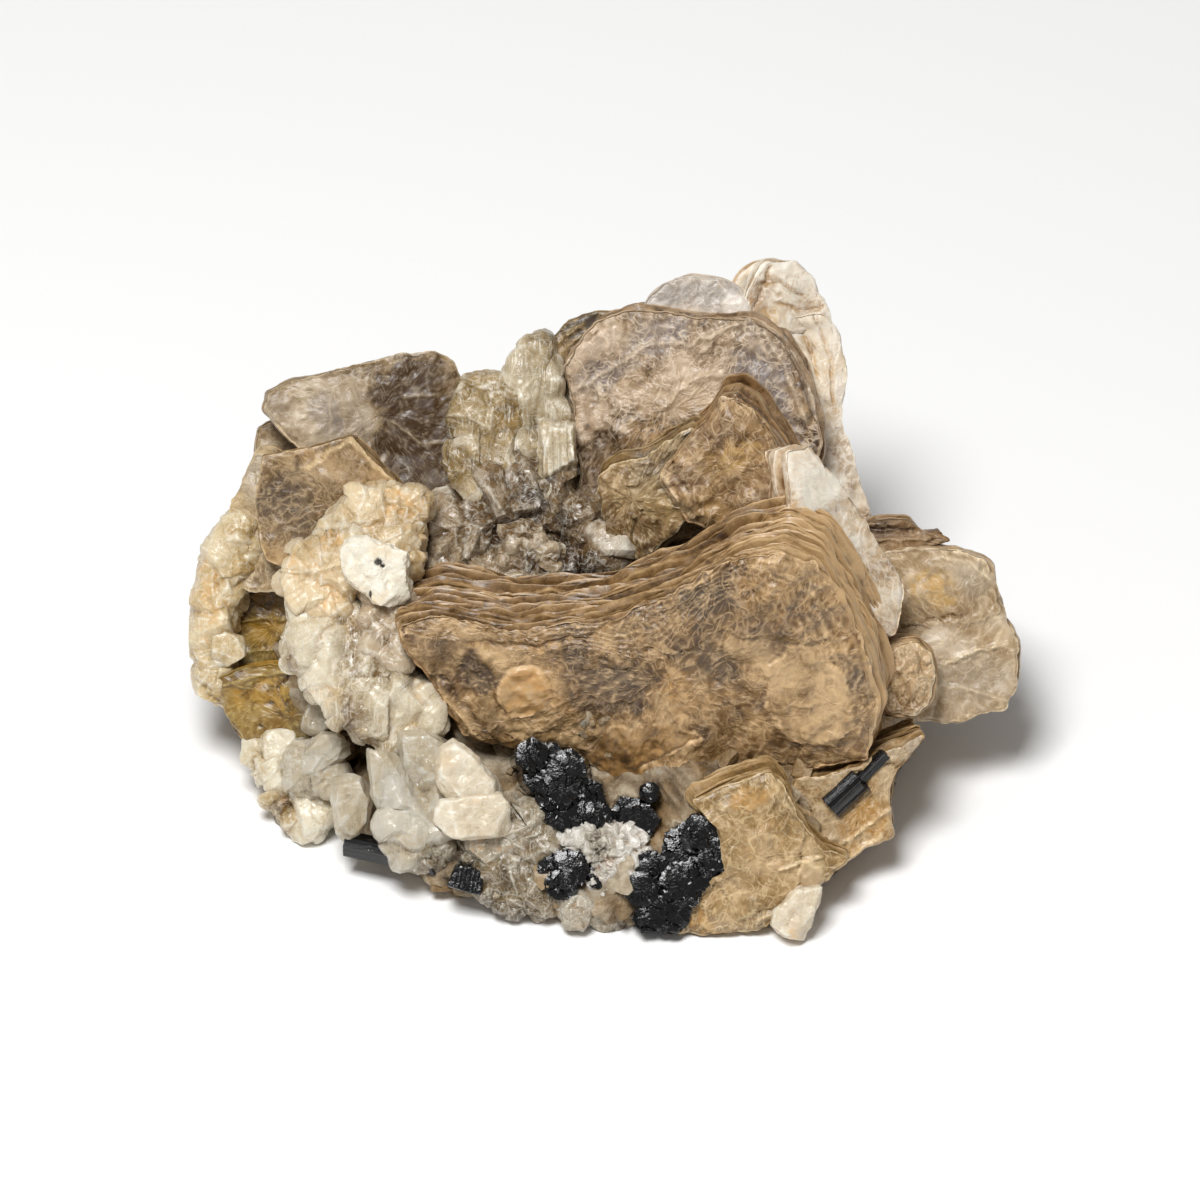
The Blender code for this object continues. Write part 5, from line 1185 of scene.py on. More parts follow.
def left_books():
    """The books of the left side: the broad one behind, the corner book before it, the golden ones below."""
    broad = mica("left_back_finish", (64, 40, 10), (134, 110, 76), (184, 166, 140), (216, 196, 164),
        gold=(150, 118, 68), grey=(134, 122, 112), lace_scale=0.3)
    look = {"swell": 0.5, "flake": 0.35, "lace": 0.4, "crumple": 0.15, "cut": 0.06, "round": 0.15,
            "jag": 0.15,
        "sheets": [([(-33.6, 18.8), (-33.2, 20.6), (-31, 21.7), (-25.5, 23), (-20, 24.4), (-16.6, 24.6),
            (-14.8, 23.8), (-14.2, 21.8), (-14.2, 12), (-20, 9), (-29.8, 14.8)], 0.5, {"tone": 0})],
        "blobs": [((-29, 19.4), (4.6, 2.6), 0.5, 0.1, {"tone": 0.25}),
            ((-27.4, 18.6), (1.6, 2.4), 0.3, 0, {"grey": 0.8}),
            # These two large dark blobs are painted shade on the book's right part.
            ((-18, 19), (4.8, 5.8), 0, 0, {"tone": -0.6, "grey": -0.8, "lace": -0.3}),
            ((-17.4, 13.2), (3.6, 4.4), 0, -0.1, {"tone": -0.5, "lace": -0.2}),
            ((-20.6, 16.4), (2.6, 2.4), 0.3, -0.2, {"grey": 0.5, "tone": -0.15})],
        "lines": [([(-33.8, 18.2), (-30.2, 15)], 0.3, 0.3, {"edge": 1}),
            ([(-19.6, 20.4), (-16, 20.8)], 0.16, 0.15, {"edge": 0.4}),
            ([(-20.8, 18), (-18, 15.8), (-15.4, 16)], 0.18, 0.15, {"edge": 0.35})]}
    book("left_back_book", broad, [(-33.8, 19), (-33.4, 20.8), (-31, 22), (-25.5, 23.3),
        (-20, 24.8), (-16.6, 25), (-14.6, 24), (-13.8, 22), (-13.8, 12), (-14.6, 6.6), (-19, 8), (-30.2, 15)],
        -5.2, (-0.06, 0.05), 6, look, (0, -0.2, -0.4, -0.3), seed=83, sheets=8)
    look = {"swell": 0.3, "lace": 0.3,
        "blobs": [((-33, 15.6), (2, 2), 0, 0, {"tone": -0.1})]}
    book("left_under_book", broad, [(-34.4, 17.6), (-34.8, 14.4), (-31.5, 12), (-26, 14),
        (-24, 20)], -8.4, (0, 0), 4, look, (0, -0.3), seed=89, sheets=6)
    brown = mica("left_front_finish", (56, 32, 6), (106, 80, 44), (168, 140, 102), (216, 188, 144),
        gold=(176, 132, 68), grey=(106, 88, 66))
    look = {"swell": 0.45, "flake": 0.3, "lace": 0.4, "crumple": 0.15, "cut": 0.03, "round": 0.1, "jag": 0.12,
        "sheets": [([(-24.8, 16), (-21.8, 13.2), (-19.9, 10.9), (-18.6, 8), (-22.4, 6.4), (-26.6, 10),
            (-29.6, 12.8), (-27.6, 14.4)], 0.45, {"tone": 0.12, "lace": -0.1})],
        "blobs": [((-31.5, 9.6), (2.4, 3.4), 0.7, -0.15, {"tone": -0.35, "grey": 0.3}),
            ((-29, 6.8), (3, 1.2), 0.5, -0.15, {"tone": -0.25, "grey": 0.2}),
            ((-31, 13), (2.6, 0.9), 0.5, -0.1, {"tone": -0.3}),
            ((-26, 8), (3.4, 1.2), 0.6, 0, {"tone": -0.12}),
            ((-24, 13.4), (2.2, 1.4), -0.7, 0, {"tone": 0.12}),
            ((-33.6, 4.6), (2.4, 1.6), 0, 0.2, {"tone": 0.35, "gold": 0.4})],
        "lines": [([(-24.8, 15.9), (-22, 13.3), (-19.8, 11), (-18.2, 8.4)], 0.24, 0.25, {"edge": 0.9}),
            ([(-24.8, 16), (-27.5, 14.5), (-29.7, 13)], 0.2, 0.2, {"edge": 0.7})]}
    book("left_front_book", brown, [(-24.8, 16.3), (-22, 13.4), (-19.8, 11), (-18, 7), (-22, 2),
        (-29, 2), (-33.5, 4), (-34.6, 9.6), (-33.8, 14.4), (-29.8, 15)], 1.6, (0.12, 0.2), 6.5, look,
        (0, -0.3, -0.6, -0.9), seed=97, sheets=9)
    tan = mica("left_edge_finish", (104, 78, 40), (158, 132, 92), (204, 184, 146), (236, 218, 182),
        gold=(198, 160, 92), grey=(160, 144, 122))
    look = {"swell": 0.4, "flake": 0.5, "lace": 0.4,
        "blobs": [((-36, 7.4), (1.4, 4), 0.2, 0, {"tone": 0.22, "gold": 0.3}),
            ((-34.6, 12.4), (1.2, 2), 0, 0, {"grey": 0.7})]}
    book("left_edge_book", tan, [(-33, 15), (-34.6, 14.8), (-35.8, 12), (-37, 9.8), (-37.8, 5.6),
        (-38.6, 3), (-35, 0.6), (-28, 1.6), (-27, 11)], -2.6, (0.1, 0.05), 6, look, (0, -0.3, 0.1), seed=101,
        sheets=8)
    golden = mica("gold_book_finish", (42, 22, 0), (92, 60, 8), (134, 104, 44), (210, 186, 120),
        gold=(164, 122, 28), grey=(150, 140, 98), lace_scale=0.25, shine=0.26)
    look = {"swell": 0.3, "flake": 0.35, "lace": 0.25, "wall_gold": 0.6,
        "sheets": [([(-38, -7.6), (-36, -6.6), (-28, -5.8), (-27.4, -6.8), (-32, -7.4), (-37.6, -8.6)], 0.5,
            {"tone": 0.25})],
        "blobs": [((-31, -9.4), (5, 1.6), 0, 0, {"gold": 0.9, "tone": -0.12}),
            ((-30, -13.4), (4.6, 2.4), 0, 0, {"tone": 0.12}),
            ((-29, -15.6), (3.6, 2), 0, 0, {"tone": -0.1, "grey": 0.4}),
            ((-36.2, -11), (1.2, 3), 0.3, 0, {"tone": 0.25})],
        "lines": [([(-38, -7.2), (-34, -6.4), (-28, -5.6)], 0.2, 0.35, {"edge": 0.9}),
            ([(-37.6, -8.4), (-33, -7.4), (-27.5, -6.6)], 0.16, 0.25, {"edge": 0.7}),
            ([(-32.2, -8.6), (-32.1, -8.7)], 0.16, -0.2, {"speck": 1}),
            ([(-32.9, -10.4), (-32.7, -10.4)], 0.2, -0.2, {"speck": 1}),
            ([(-31.6, -14.2), (-31, -14.1)], 0.2, -0.2, {"speck": 1}),
            ([(-34.2, -12.6), (-34.1, -12.7)], 0.14, -0.2, {"speck": 1})]}
    book("gold_book", golden, [(-38.6, -8), (-36, -6.8), (-28, -5.8), (-25, -9), (-22.6, -12.6),
        (-25, -16), (-30, -18.5), (-34.6, -16), (-37.2, -12.6)], -3, (0.12, 0.1), 7, look,
        (0, -0.1, -0.4, -0.2), seed=103, sheets=9)
    look = {"swell": 0.3, "flake": 0.35, "lace": 0.2, "wall_gold": 0.6,
        "blobs": [((-31.5, 0.4), (5, 1.4), 0, -0.1, {"tone": -0.35, "gold": 0.6}),
            ((-31.5, -3.6), (5, 1.8), 0, 0, {"tone": -0.18, "gold": 0.8})],
        "lines": [([(-36, -2), (-31, -1.9), (-27.5, -1.7)], 0.16, 0.25, {"edge": 0.5}),
            ([(-36.5, -5.2), (-31, -5), (-27, -4.8)], 0.16, 0.25, {"edge": 0.4})]}
    book("gold_recess_book", golden, [(-37, 2), (-29, 2.6), (-27, -2), (-26, -7.6),
        (-37.4, -8.4), (-39.6, -3)], -7, (0.2, 0.1), 6, look, (0, 0.5), seed=107, sheets=7)


def crystals(node, finish, shells, sharp=14.0):
    """Builds a node's crystals as one piece and lets it stand for the node."""
    carry(build(node + "_crystals", [joined(shell) for shell in shells], finish, sharp), node)


def lumps(places, depth, seed, **shape):
    """The blocks at (u, v, radius, level) places, each turned and leaning its own way."""
    shells = []
    for number, (u, v, radius, level) in enumerate(places):
        count = 5 - number % 2
        turn = FULL_TURN * (np.arange(count) + 0.31 * number) / count
        outline = np.column_stack([u + radius * np.cos(turn), v + radius * np.sin(turn)])
        lean = (0.3 * math.sin(number * 2.1), 0.3 * math.cos(number * 1.7))
        shells.append(block_shell(outline, level, depth, lean, front=0.7, back=0.85, rows=30, columns=52,
                                  rough=0.15, seed=seed + number, **shape))
    return shells


def chip_and_crust():
    """The white feldspar chip with its black specks, and the cream crust that it sits on."""
    white = feldspar("feldspar_chip_finish", (186, 166, 134), (224, 214, 192), (234, 230, 218),
        stain=(226, 190, 130), rough=0.55, haze=0.1, streaks=0.15)
    crystals("feldspar_chip", white, [block_shell([(-26.3, 5.2), (-25.5, 6.8), (-24.2, 7),
        (-18.7, 4.6), (-18.2, 2), (-18, 0.8), (-19, -0.6), (-20.4, -1.1), (-22.6, -0.4), (-25.8, 2.2)], 9.6,
        4.4, (0.05, 0.1), front=0.93, back=0.8, bevel=0.16, power=40, rows=72, columns=120, chips=9,
        rough=0.3, seed=3, tone=0.6, specks=[((-22, 3.8), (0.35, 0.3)), ((-21.6, 3.4), (0.25, 0.2)),
        ((-22.8, 0.6), (0.16, 0.4))])])
    cream = feldspar("feldspar_crust_finish", (126, 92, 40), (184, 157, 112), (212, 190, 152),
        stain=(222, 166, 84), rough=0.45)
    crystals("feldspar_crust", cream, [crust_shell([(-27.8, 8), (-25.5, 9.8), (-21.6, 12.2),
        (-20, 11.6), (-17.4, 9.2), (-18, 5), (-19.4, 1.6), (-23, 2), (-27.4, 5.2)], 6.4, 5, 2.6, 5,
        (0, -0.05), tall=0.6, tone=0.56, rows=80, columns=150, ragged=0.8), crust_shell([(-31.2, 1.6),
        (-29.6, 4.2), (-27.6, 6.2), (-24.6, 7.4), (-22.6, 3), (-24.5, -0.8), (-28.2, -1.6), (-29.6, -0.2)], 7,
        5, 2.6, 8, tall=0.6, tone=0.56, rows=80, columns=150, ragged=0.8)])


BAND = ((-29.4, 1.6, 2.4, 6.4), (-27.8, -1.8, 3.7, 7), (-26.2, -4.8, 4, 7.4), (-24.2, -8, 4, 7.8),
    (-21.8, -10.6, 3.9, 8), (-18.8, -12, 3.5, 8), (-16.4, -14, 2.4, 7.6))


def albite_band():
    """The curved band of pale, cloudy albite between the crust and the quartz."""
    pale = feldspar("albite_band_finish", (112, 86, 46), (174, 156, 124), (212, 200, 174),
        stain=(206, 168, 112), rough=0.3, haze=0.3, streaks=0.7)
    crystals("albite_band", pale, [crust_along(BAND, 5.4, 3, 31, tall=0.62, tone=0.54,
        rows=210, columns=110, drawn=1.3)])


def quartz_crystals():
    """The glassy crystals of the lower left: a stout group, and three single ones beside it."""
    glass = feldspar("quartz_finish", (146, 128, 98), (210, 195, 166), (232, 222, 202), stain=(206, 176, 126),
        rough=0.12, clear=0.35, haze=0.2, streaks=0.8)
    fine = {"power": 150, "rows": 64, "columns": 100, "rough": 0.1, "chips": 9}
    crystals("quartz_group", glass, [block_shell([(-23.4, -14.5), (-22.6, -13.8),
        (-20.8, -14.4), (-18.6, -17), (-17.6, -21.6), (-19.6, -23), (-21.8, -21.6), (-23, -19.4)], 10, 6,
        front=0.78, bevel=0.24, groove=(0.15, 1.6, 0.2), seed=2, tone=0.62, **fine),
        block_shell([(-20.4, -12.8), (-16, -12.7), (-14.6, -13.6), (-15, -19.5), (-17.6, -21), (-20, -17)],
        9.6, 6, (0.1, 0.1), front=0.78, bevel=0.26, groove=(1.1, 2.4, 0.12), seed=4, tone=0.58, **fine),
        crust_shell([(-21, -18.6), (-15.5, -17.6), (-14, -21.5), (-14.6, -23.6), (-19, -24.6),
        (-21.4, -22.6)], 9, 6, 2.8, 6, tall=0.8, tone=0.56, rows=70, columns=110)])
    crystals("quartz_round", glass, [block_shell([(-30, -11.6), (-29, -9.9), (-27.6, -9.5),
        (-26.4, -10.4), (-26.4, -12.6), (-28.6, -14), (-30, -13.2)], 1.2, 4, front=0.85, bevel=0.2, power=30,
        rows=48, columns=72, chips=7, rough=0.12, seed=8, tone=0.45)])
    crystals("quartz_striated", glass, [block_shell([(-29.8, -15), (-28, -13), (-26, -12.9),
        (-24.8, -14.2), (-24.7, -15.4), (-27, -17), (-30, -16.6)], 3.2, 4.5, (0.15, 0), front=0.8, bevel=0.25,
        groove=(2.2, 0.9, 0.16), seed=10, tone=0.6, power=50, rows=56, columns=90), crust_shell([(-31.6, -16),
        (-28.4, -15), (-25.8, -16.8), (-26.4, -19.4), (-29.8, -19.2)], 1.6, 5, 2.4, 11, tone=0.5, rows=50,
        columns=90)])
    crystals("quartz_long", glass, [block_shell([(-26.8, -17.6), (-25, -16.8), (-22.8, -17),
        (-22.4, -19.4), (-23, -22.4), (-24.2, -24), (-25.5, -24.6), (-26.4, -23.7), (-27, -20)], 6.2, 5.5,
        front=0.68, bevel=0.3, groove=(0.5, 1.9, 0.1), seed=12, tone=0.5, **fine)])


def feldspar_blocks():
    """The two cream feldspar blocks beside the quartz, the small ones under them, one by the foot book."""
    cream = feldspar("feldspar_block_finish", (158, 132, 100), (206, 190, 163), (223, 212, 190),
        stain=(222, 178, 122), rough=0.42, haze=0.3, streaks=0.2)
    clear = feldspar("feldspar_small_finish", (86, 70, 44), (160, 147, 124), (196, 184, 164), rough=0.24,
        clear=0.2, haze=0.3, streaks=0.5)
    fine = {"power": 26, "rows": 60, "columns": 96, "rough": 0.2}
    crystals("feldspar_block_upper", cream, [block_shell([(-16.2, -14.2), (-14.6, -13.5),
        (-13, -14.5), (-11, -16.5), (-9.3, -18.8), (-9, -20.6), (-14, -20.8), (-16, -19.2), (-16.6, -17)],
        12.2, 5, (-0.1, 0.1), front=0.8, bevel=0.3, seed=14, tone=0.6, **fine)])
    crystals("feldspar_block_lower", cream, [block_shell([(-16.2, -19.6), (-9.2, -18.8),
        (-8.3, -21.4), (-8.6, -23.6), (-15, -23.9), (-16.8, -22)], 12.2, 5.5, (0, 0.1), front=0.85, bevel=0.2,
        seed=16, tone=0.6, **fine)])
    crystals("feldspar_block_small", clear, [block_shell([(-13.4, -23.2), (-8.9, -23),
        (-7.8, -24.8), (-9, -26.4), (-11.8, -26.6), (-13.6, -25)], 10, 4, front=0.78, power=40, rows=48,
        columns=72, rough=0.15, seed=18, tone=0.6)])
    crystals("feldspar_block_foot", clear, [block_shell([(-5, -29.2), (-1.8, -28.7),
        (0, -30.6), (-0.4, -32), (-1.6, -33.1), (-3.4, -32.6)], 10.4, 3.5, front=0.75, power=40, rows=48,
        columns=72, rough=0.3, crust=(1.8, 0.3), seed=20, tone=0.64)])
    crystals("feldspar_triangle", cream, [block_shell([(17, -30.6), (20, -28),
        (22.6, -27.8), (21.4, -31.5), (20.3, -34), (18, -33.6), (16.6, -32.6)], 11.9, 4.5, (0, 0.1),
        front=0.85, bevel=0.25, seed=22, tone=0.42, **fine)])


SPLINTER = 0.9
RIB_COUNT = 23.0
WALL_ROWS = 9


def broken_prism(base, tip, radius, sides, seed):
    """A black prism from base to tip, with many splinters at its broken end.

    Its section is a polygon, r = cos(pi / n) / cos(angle from the middle of a side), ribbed along its length.
    Its end is a dome cut into splinters: each cell of scattered points has its own height and its own tilt.
    """
    base, tip = np.array(base), np.array(tip)
    length = np.linalg.norm(tip - base)
    along = (tip - base) / length
    side = np.cross(along, [0.0, 1.0, 0.2])
    side /= np.linalg.norm(side)
    other = np.cross(along, side)
    columns = max(int(26 * radius), 24)
    turn = np.linspace(0.0, FULL_TURN, columns, endpoint=False)
    round_ = np.stack([np.cos(turn), np.sin(turn)], axis=-1)
    corner = math.pi / sides
    section = math.cos(corner) / np.cos((turn + seed) % (2 * corner) - corner)
    ribs = 1.0 + 0.035 * np.sin(turn * RIB_COUNT + seed) + 0.05 * noise3(deep(round_, seed) * 2.0, 7)
    rim = radius * section * ribs
    share = np.linspace(0.06, 1.0, max(int(7 * radius), 7))[:, None]
    x, y = share * rim * np.cos(turn), share * rim * np.sin(turn)
    spots = np.stack([x, y, np.full(x.shape, seed * 2.3)], axis=-1) / SPLINTER
    _, number = cells(spots, seed)
    lean = noise3(np.stack([number * 60.0, number * 31.0, number * 17.0], axis=-1), 3)
    end = length + 0.3 * (number - 0.6) + 0.28 * lean * (x + y) / radius - 0.2 * share**3
    down = np.linspace(0.0, 1.0, WALL_ROWS + 1)[1:, None]
    wall_end = end[-1] * (1.0 - down) ** 1.5
    x = np.concatenate([x, np.broadcast_to(rim * np.cos(turn), (WALL_ROWS, columns))])
    y = np.concatenate([y, np.broadcast_to(rim * np.sin(turn), (WALL_ROWS, columns))])
    z = np.concatenate([end, wall_end])
    placed = base + x[..., None] * side + y[..., None] * other + z[..., None] * along
    marks = {"tone": 0.5 + 0.0 * x, "edge": np.concatenate([np.ones(end.shape), np.zeros(wall_end.shape)])}
    return placed[None], np.stack([x, y, z], axis=-1)[None] + seed, one_copy(marks)


def cluster(places, level, seed):
    """Black prisms side by side at (u, v, radius) places, each ending near a level and leaning a little."""
    shells = []
    for number, (u, v, radius) in enumerate(places):
        lean = 0.7 * math.sin(number * 2.3 + seed), 0.7 * math.cos(number * 1.7 + seed)
        top = level + 0.7 * math.sin(number * 2.9 + 2.0 * seed)
        tip = (u + lean[0], v + lean[1], top)
        shells.append(broken_prism((u, v, 2.5), tip, 1.24 * radius, 6 + number % 4, 10 * seed + number))
    return shells


def tourmalines():
    """The black tourmaline: clusters of prisms in the foot, a stub, a lying bar and one in a slit."""
    black = tourmaline()
    clusters = {
        "tourmaline_upper": ([(-7.4, -15.8, 1.5), (-5.2, -15.6, 1.8), (-2.9, -16.6, 1.7), (-6.4, -18, 1.7),
            (-3.9, -18.6, 2), (-1.5, -19, 1.8), (-4.6, -21, 1.6), (-2.4, -21.6, 1.9), (-0.7, -21.2, 1.4)], 9.4),
        "tourmaline_middle": ([(2.3, -21, 1.6), (4.4, -21.4, 1.7), (3.2, -23.4, 1.6),
            (4.6, -19.6, 0.9)], 8.8),
        "tourmaline_lower": ([(-4.6, -25.9, 1.6), (-2.5, -26.6, 1.7), (-0.7, -27.7, 1.4),
            (-3.5, -28, 1.4)], 10.3),
        "tourmaline_right": ([(10.4, -22.8, 1.8), (8.6, -25.2, 2.1), (11, -25.4, 1.6), (5.7, -26.4, 1.8),
            (7.8, -28, 2.1), (10, -27.6, 1.6), (4.7, -28.6, 1.5), (6.3, -30.4, 1.8), (5, -31.8, 1.3)], 10.8),
    }
    for seed, (node, (places, level)) in enumerate(clusters.items()):
        crystals(node, black, cluster(places, level, seed + 1), sharp=25.0)
    crystals("tourmaline_bar", black, [broken_prism((-25.2, -24.3, 3.4),
        (-16.2, -26.2, 6.2), 1.35, 8, 51)], sharp=25)
    crystals("tourmaline_slit", black, [broken_prism((24.6, -19, 7), (28.4, -15.2, 7.3),
        0.8, 6, 61), broken_prism((22.9, -20.6, 7), (26, -17.7, 7.2), 1.5, 7, 62)], sharp=25)
    crystals("tourmaline_stub", black, [block_shell([(-14.4, -26.2), (-12.6, -26.4),
        (-11.3, -27.2), (-11.8, -29.4), (-13, -29.2), (-15.4, -28.4)], 9.8, 5, front=0.93, back=1, bevel=0.1,
        power=40, rows=40, columns=72, chips=0, groove=(-0.2, 0.45, 0.06), rough=0.03, seed=24)])


def foot_crystals():
    """The sugary albite between the tourmalines, the cream feldspars of the foot and the golden crust."""
    sugar = feldspar("sugary_finish", (84, 74, 60), (165, 156, 140), (210, 204, 194), rough=0.25, haze=0.2,
        stain=(150, 100, 62), streaks=0.3)
    crystals("sugary_albite", sugar, [crust_shell([(-4.4, -23.2), (-1, -22.6), (1.6, -22.6),
        (4.2, -23.4), (4.8, -26.4), (4.2, -29.4), (1.2, -30.4), (-0.6, -28.6), (-1.6, -25.8), (-4.2, -25.2)],
        10, 6, 0.8, 41, tall=1.3, tone=0.58, rows=110, columns=170, ragged=0.7)])
    cream = feldspar("foot_feldspar_finish", (76, 58, 28), (122, 104, 74), (180, 167, 144),
        stain=(150, 116, 72), rough=0.28, clear=0.1, haze=0.25, streaks=0.5)
    places = [(-17.2, -24.6, 2.9, 8.2), (-13.6, -24.6, 2.2, 8), (1, -31, 1.9, 8.8)]
    crystals("foot_feldspars", cream, [*lumps(places, 5, 50, crust=(1.5, 0.8)),
        crust_shell([(-11.4, -25.6), (-7.6, -26), (-4.6, -28.6), (-4.8, -31.4), (-9.4, -30.6),
        (-11.6, -28.6)], 9.2, 5, 2.2, 54, tone=0.5, rows=70, columns=130), crust_shell([(-9.6, -19.6),
        (-6.6, -20.4), (-5, -22.6), (-5.6, -25.8), (-8.6, -25)], 9, 5, 2.4, 57, tone=0.5, rows=60,
        columns=100)])
    golden = feldspar("golden_crust_finish", (100, 74, 28), (174, 150, 106), (216, 206, 182),
        stain=(186, 132, 46), rough=0.35, streaks=0.4)
    crystals("golden_crust", golden, [crust_along([(-33.6, -14.6, 1.6, -2.6),
        (-31.6, -16.8, 2.4, -2.2), (-29.6, -19.4, 2.5, -1.2), (-27.6, -22, 2, 0)], 5, 2.4, 61, tone=0.5,
        rows=120, columns=80)])


def albite_columns():
    """The upright albite at the back of the hollow: a pale column with a ribbed block, and a rough one."""
    pale = feldspar("albite_column_finish", (92, 70, 34), (158, 140, 108), (196, 182, 154),
        stain=(176, 148, 98), rough=0.34, ribs=(4, 0.5, 0.5), haze=0.25, streaks=0.8)
    crystals("albite_column", pale, [crust_shell([(-9.2, 20), (-8.8, 24.4), (-7.4, 25.8),
        (-5.6, 26.4), (-4.8, 24), (-4.2, 21.6), (-3.2, 18), (-3.2, 12), (-8.8, 11.6), (-9.4, 15.6)], -1.4,
        5.6, 2.8, 26, (0, 0.1), tall=0.45, tone=0.5, rows=90, columns=150, ragged=0.35, drawn=3.5),
        block_shell([(-6.4, 18.6), (-2.4, 18.2), (-1.9, 13.4), (-3.4, 11.4), (-6.4, 11.8)], 0.6, 5,
        bevel=0.25, power=40, rows=60, columns=90, groove=(0, 0.8, 0.22), rough=0.15, seed=28, tone=0.62),
        block_shell([(-9.6, 12.6), (-2.8, 12.4), (-2.2, 9.6), (-5.6, 8.6), (-9.8, 9.2)], -0.2, 4.6, bevel=0.3,
        power=40, rows=48, columns=80, rough=0.2, crust=(2, 0.4), seed=29, tone=0.15)])
    olive = feldspar("albite_rough_finish", (92, 66, 20), (138, 114, 70), (182, 160, 122),
        stain=(150, 116, 52), rough=0.4, streaks=0.5)
    crystals("albite_rough_column", olive, [crust_shell([(-14.2, 20), (-13.6, 21.6),
        (-12, 22.2), (-9, 21.8), (-8.2, 18), (-8.6, 13), (-10, 9.6), (-13.4, 10.4), (-15.2, 13.6),
        (-14, 16.4)], -0.4, 6, 2.4, 30, (0, -0.12), tall=0.6, tone=0.5, rows=90, columns=150, ragged=0.4,
        drawn=1.6)])


def hollow_floor():
    """The crystals that fill the hollow between the books: stained crusts, painted darker in their creases as
    shade, and pale ones on them.
    """
    finish = feldspar("hollow_finish", (56, 36, 14), (118, 94, 62), (180, 160, 132), stain=(104, 72, 30),
        rough=0.32, haze=0.25, streaks=0.15)
    crystals("hollow_crystals", finish, [crust_shell([(-18, 5.6), (-14.6, 8.6), (-10, 12),
        (-4.6, 12), (-1, 8.4), (0.6, 4.4), (-3.6, 0.2), (-9.4, -1.6), (-14.6, -1.6), (-18.2, 1.4)], -0.6, 6,
        3.4, 70, tall=1.3, tone=0.42, rows=110, columns=200, ragged=0.5), *lumps([(-7.6, 5.6, 2.7, 1.6),
        (-5.2, 4.4, 2, 1.8)], 5, 74, crust=(1.3, 0.7), tone=0.6), *lumps([(-12.6, 5.8, 2, 0.8),
        (-15.2, 2.8, 2.4, 1.6), (-12.6, 0.6, 2.4, 2.2)], 4.6, 78, crust=(1.4, 0.7), tone=0.3),
        crust_shell([(-23.8, 1.2), (-19.6, 1.4), (-18, -0.8), (-18.4, -4), (-20.4, -6.6), (-23, -4.4)], 7.6,
        5, 2.6, 72, (0, -0.2), tall=0.5, tone=0.85, rows=60, columns=110), block_shell([(-11, 1.6), (-8, 2.8),
        (-3.6, 2.4), (-4.4, 0.2), (-10.6, -1.4)], 3, 3.6, (0, 0.3), front=0.8, power=40, rows=48, columns=84,
        rough=0.2, crust=(1.8, 0.35), seed=83, tone=0.5)])


def left_crust():
    """The golden cream crust of small feldspars along the left edge."""
    finish = feldspar("left_crust_finish", (118, 86, 30), (176, 148, 96), (208, 190, 154),
        stain=(206, 152, 58), rough=0.36, haze=0.3, streaks=0.4)
    crystals("left_crust", finish, [crust_along([(-35.6, 8.8, 1.3, -2.2),
        (-36.4, 5.4, 1.9, -2.4), (-37.7, 2.4, 1.9, -3), (-38.7, -1, 1.5, -3.4), (-39.2, -4.6, 1.3, -3.4),
        (-38.8, -7.4, 1.2, -3.6), (-37.2, -10.4, 1.1, -3.2)], 5, 2.4, 80, tall=0.55, tone=0.56, rows=220,
        columns=84), block_shell([(-39.2, -3.4), (-37.6, -3), (-35.6, -3.6), (-35.2, -6), (-37, -7),
        (-39.2, -6.4)], -2.4, 3.6, front=0.85, power=40, rows=48, columns=72, rough=0.12, seed=86, tone=0.7)])


ROCK_HEART = np.array([1.0, 4.0, 7.0])
ROCK_LUMPS = (((1, -3, 2), (30.5, 26, 9)), ((0, 3, 7), (27, 14, 12.5)), ((-6, 14, 15), (10, 7, 12.5)),
    ((9, 18, 17), (16, 8, 14)), ((-20, 15, 16), (12.5, 8, 11)), ((24, 3, 9), (11, 10, 9)),
    ((-26, 1, 8), (10, 9, 8)), ((2, -7, 12), (19, 8, 11)), ((14, -14, 5), (14, 11, 8)))
CLEAVAGE_BLOCKS = (((-8, 19, 10), (14, 10, 12), (0.3, 0.2, 0.5)),
    ((4, 22, 15), (12, 9, 14), (-0.2, 0.4, -0.3)), ((17, 21, 11), (13, 11, 12), (0.5, -0.2, 0.2)),
    ((-20, 15, 11), (12, 12, 10), (-0.3, 0.3, 0.9)), ((25, 11, 7), (12, 12, 11), (0.2, 0.6, 0.4)),
    ((-27, 6, 6), (10, 12, 10), (0.1, 0.5, -0.4)), ((7, 20, 4), (16, 10, 9), (0.1, 0.1, -0.1)))


def rock_reach(directions):
    """How far the rock reaches from its heart: its farthest lump along each direction, where a ray meets an
    ellipsoid, chipped by scattered cells and swelled by noise."""
    reach = np.zeros(directions.shape[:-1])
    for centre, radii in ROCK_LUMPS:
        scaled = directions / np.array(radii)
        start = (ROCK_HEART - np.array(centre)) / np.array(radii)
        a, b, c = (scaled**2).sum(axis=-1), scaled @ start, start @ start - 1.0
        inside = b * b - a * c
        reach = np.maximum(reach, np.where(inside > 0, (np.sqrt(np.maximum(inside, 0.0)) - b) / a, 0.0))
    first, _ = cells(directions * 7.0, 3)
    return reach * (0.95 - 0.05 * (first - 0.5) + 0.02 * fractal(directions * 9.0, 4, 5))


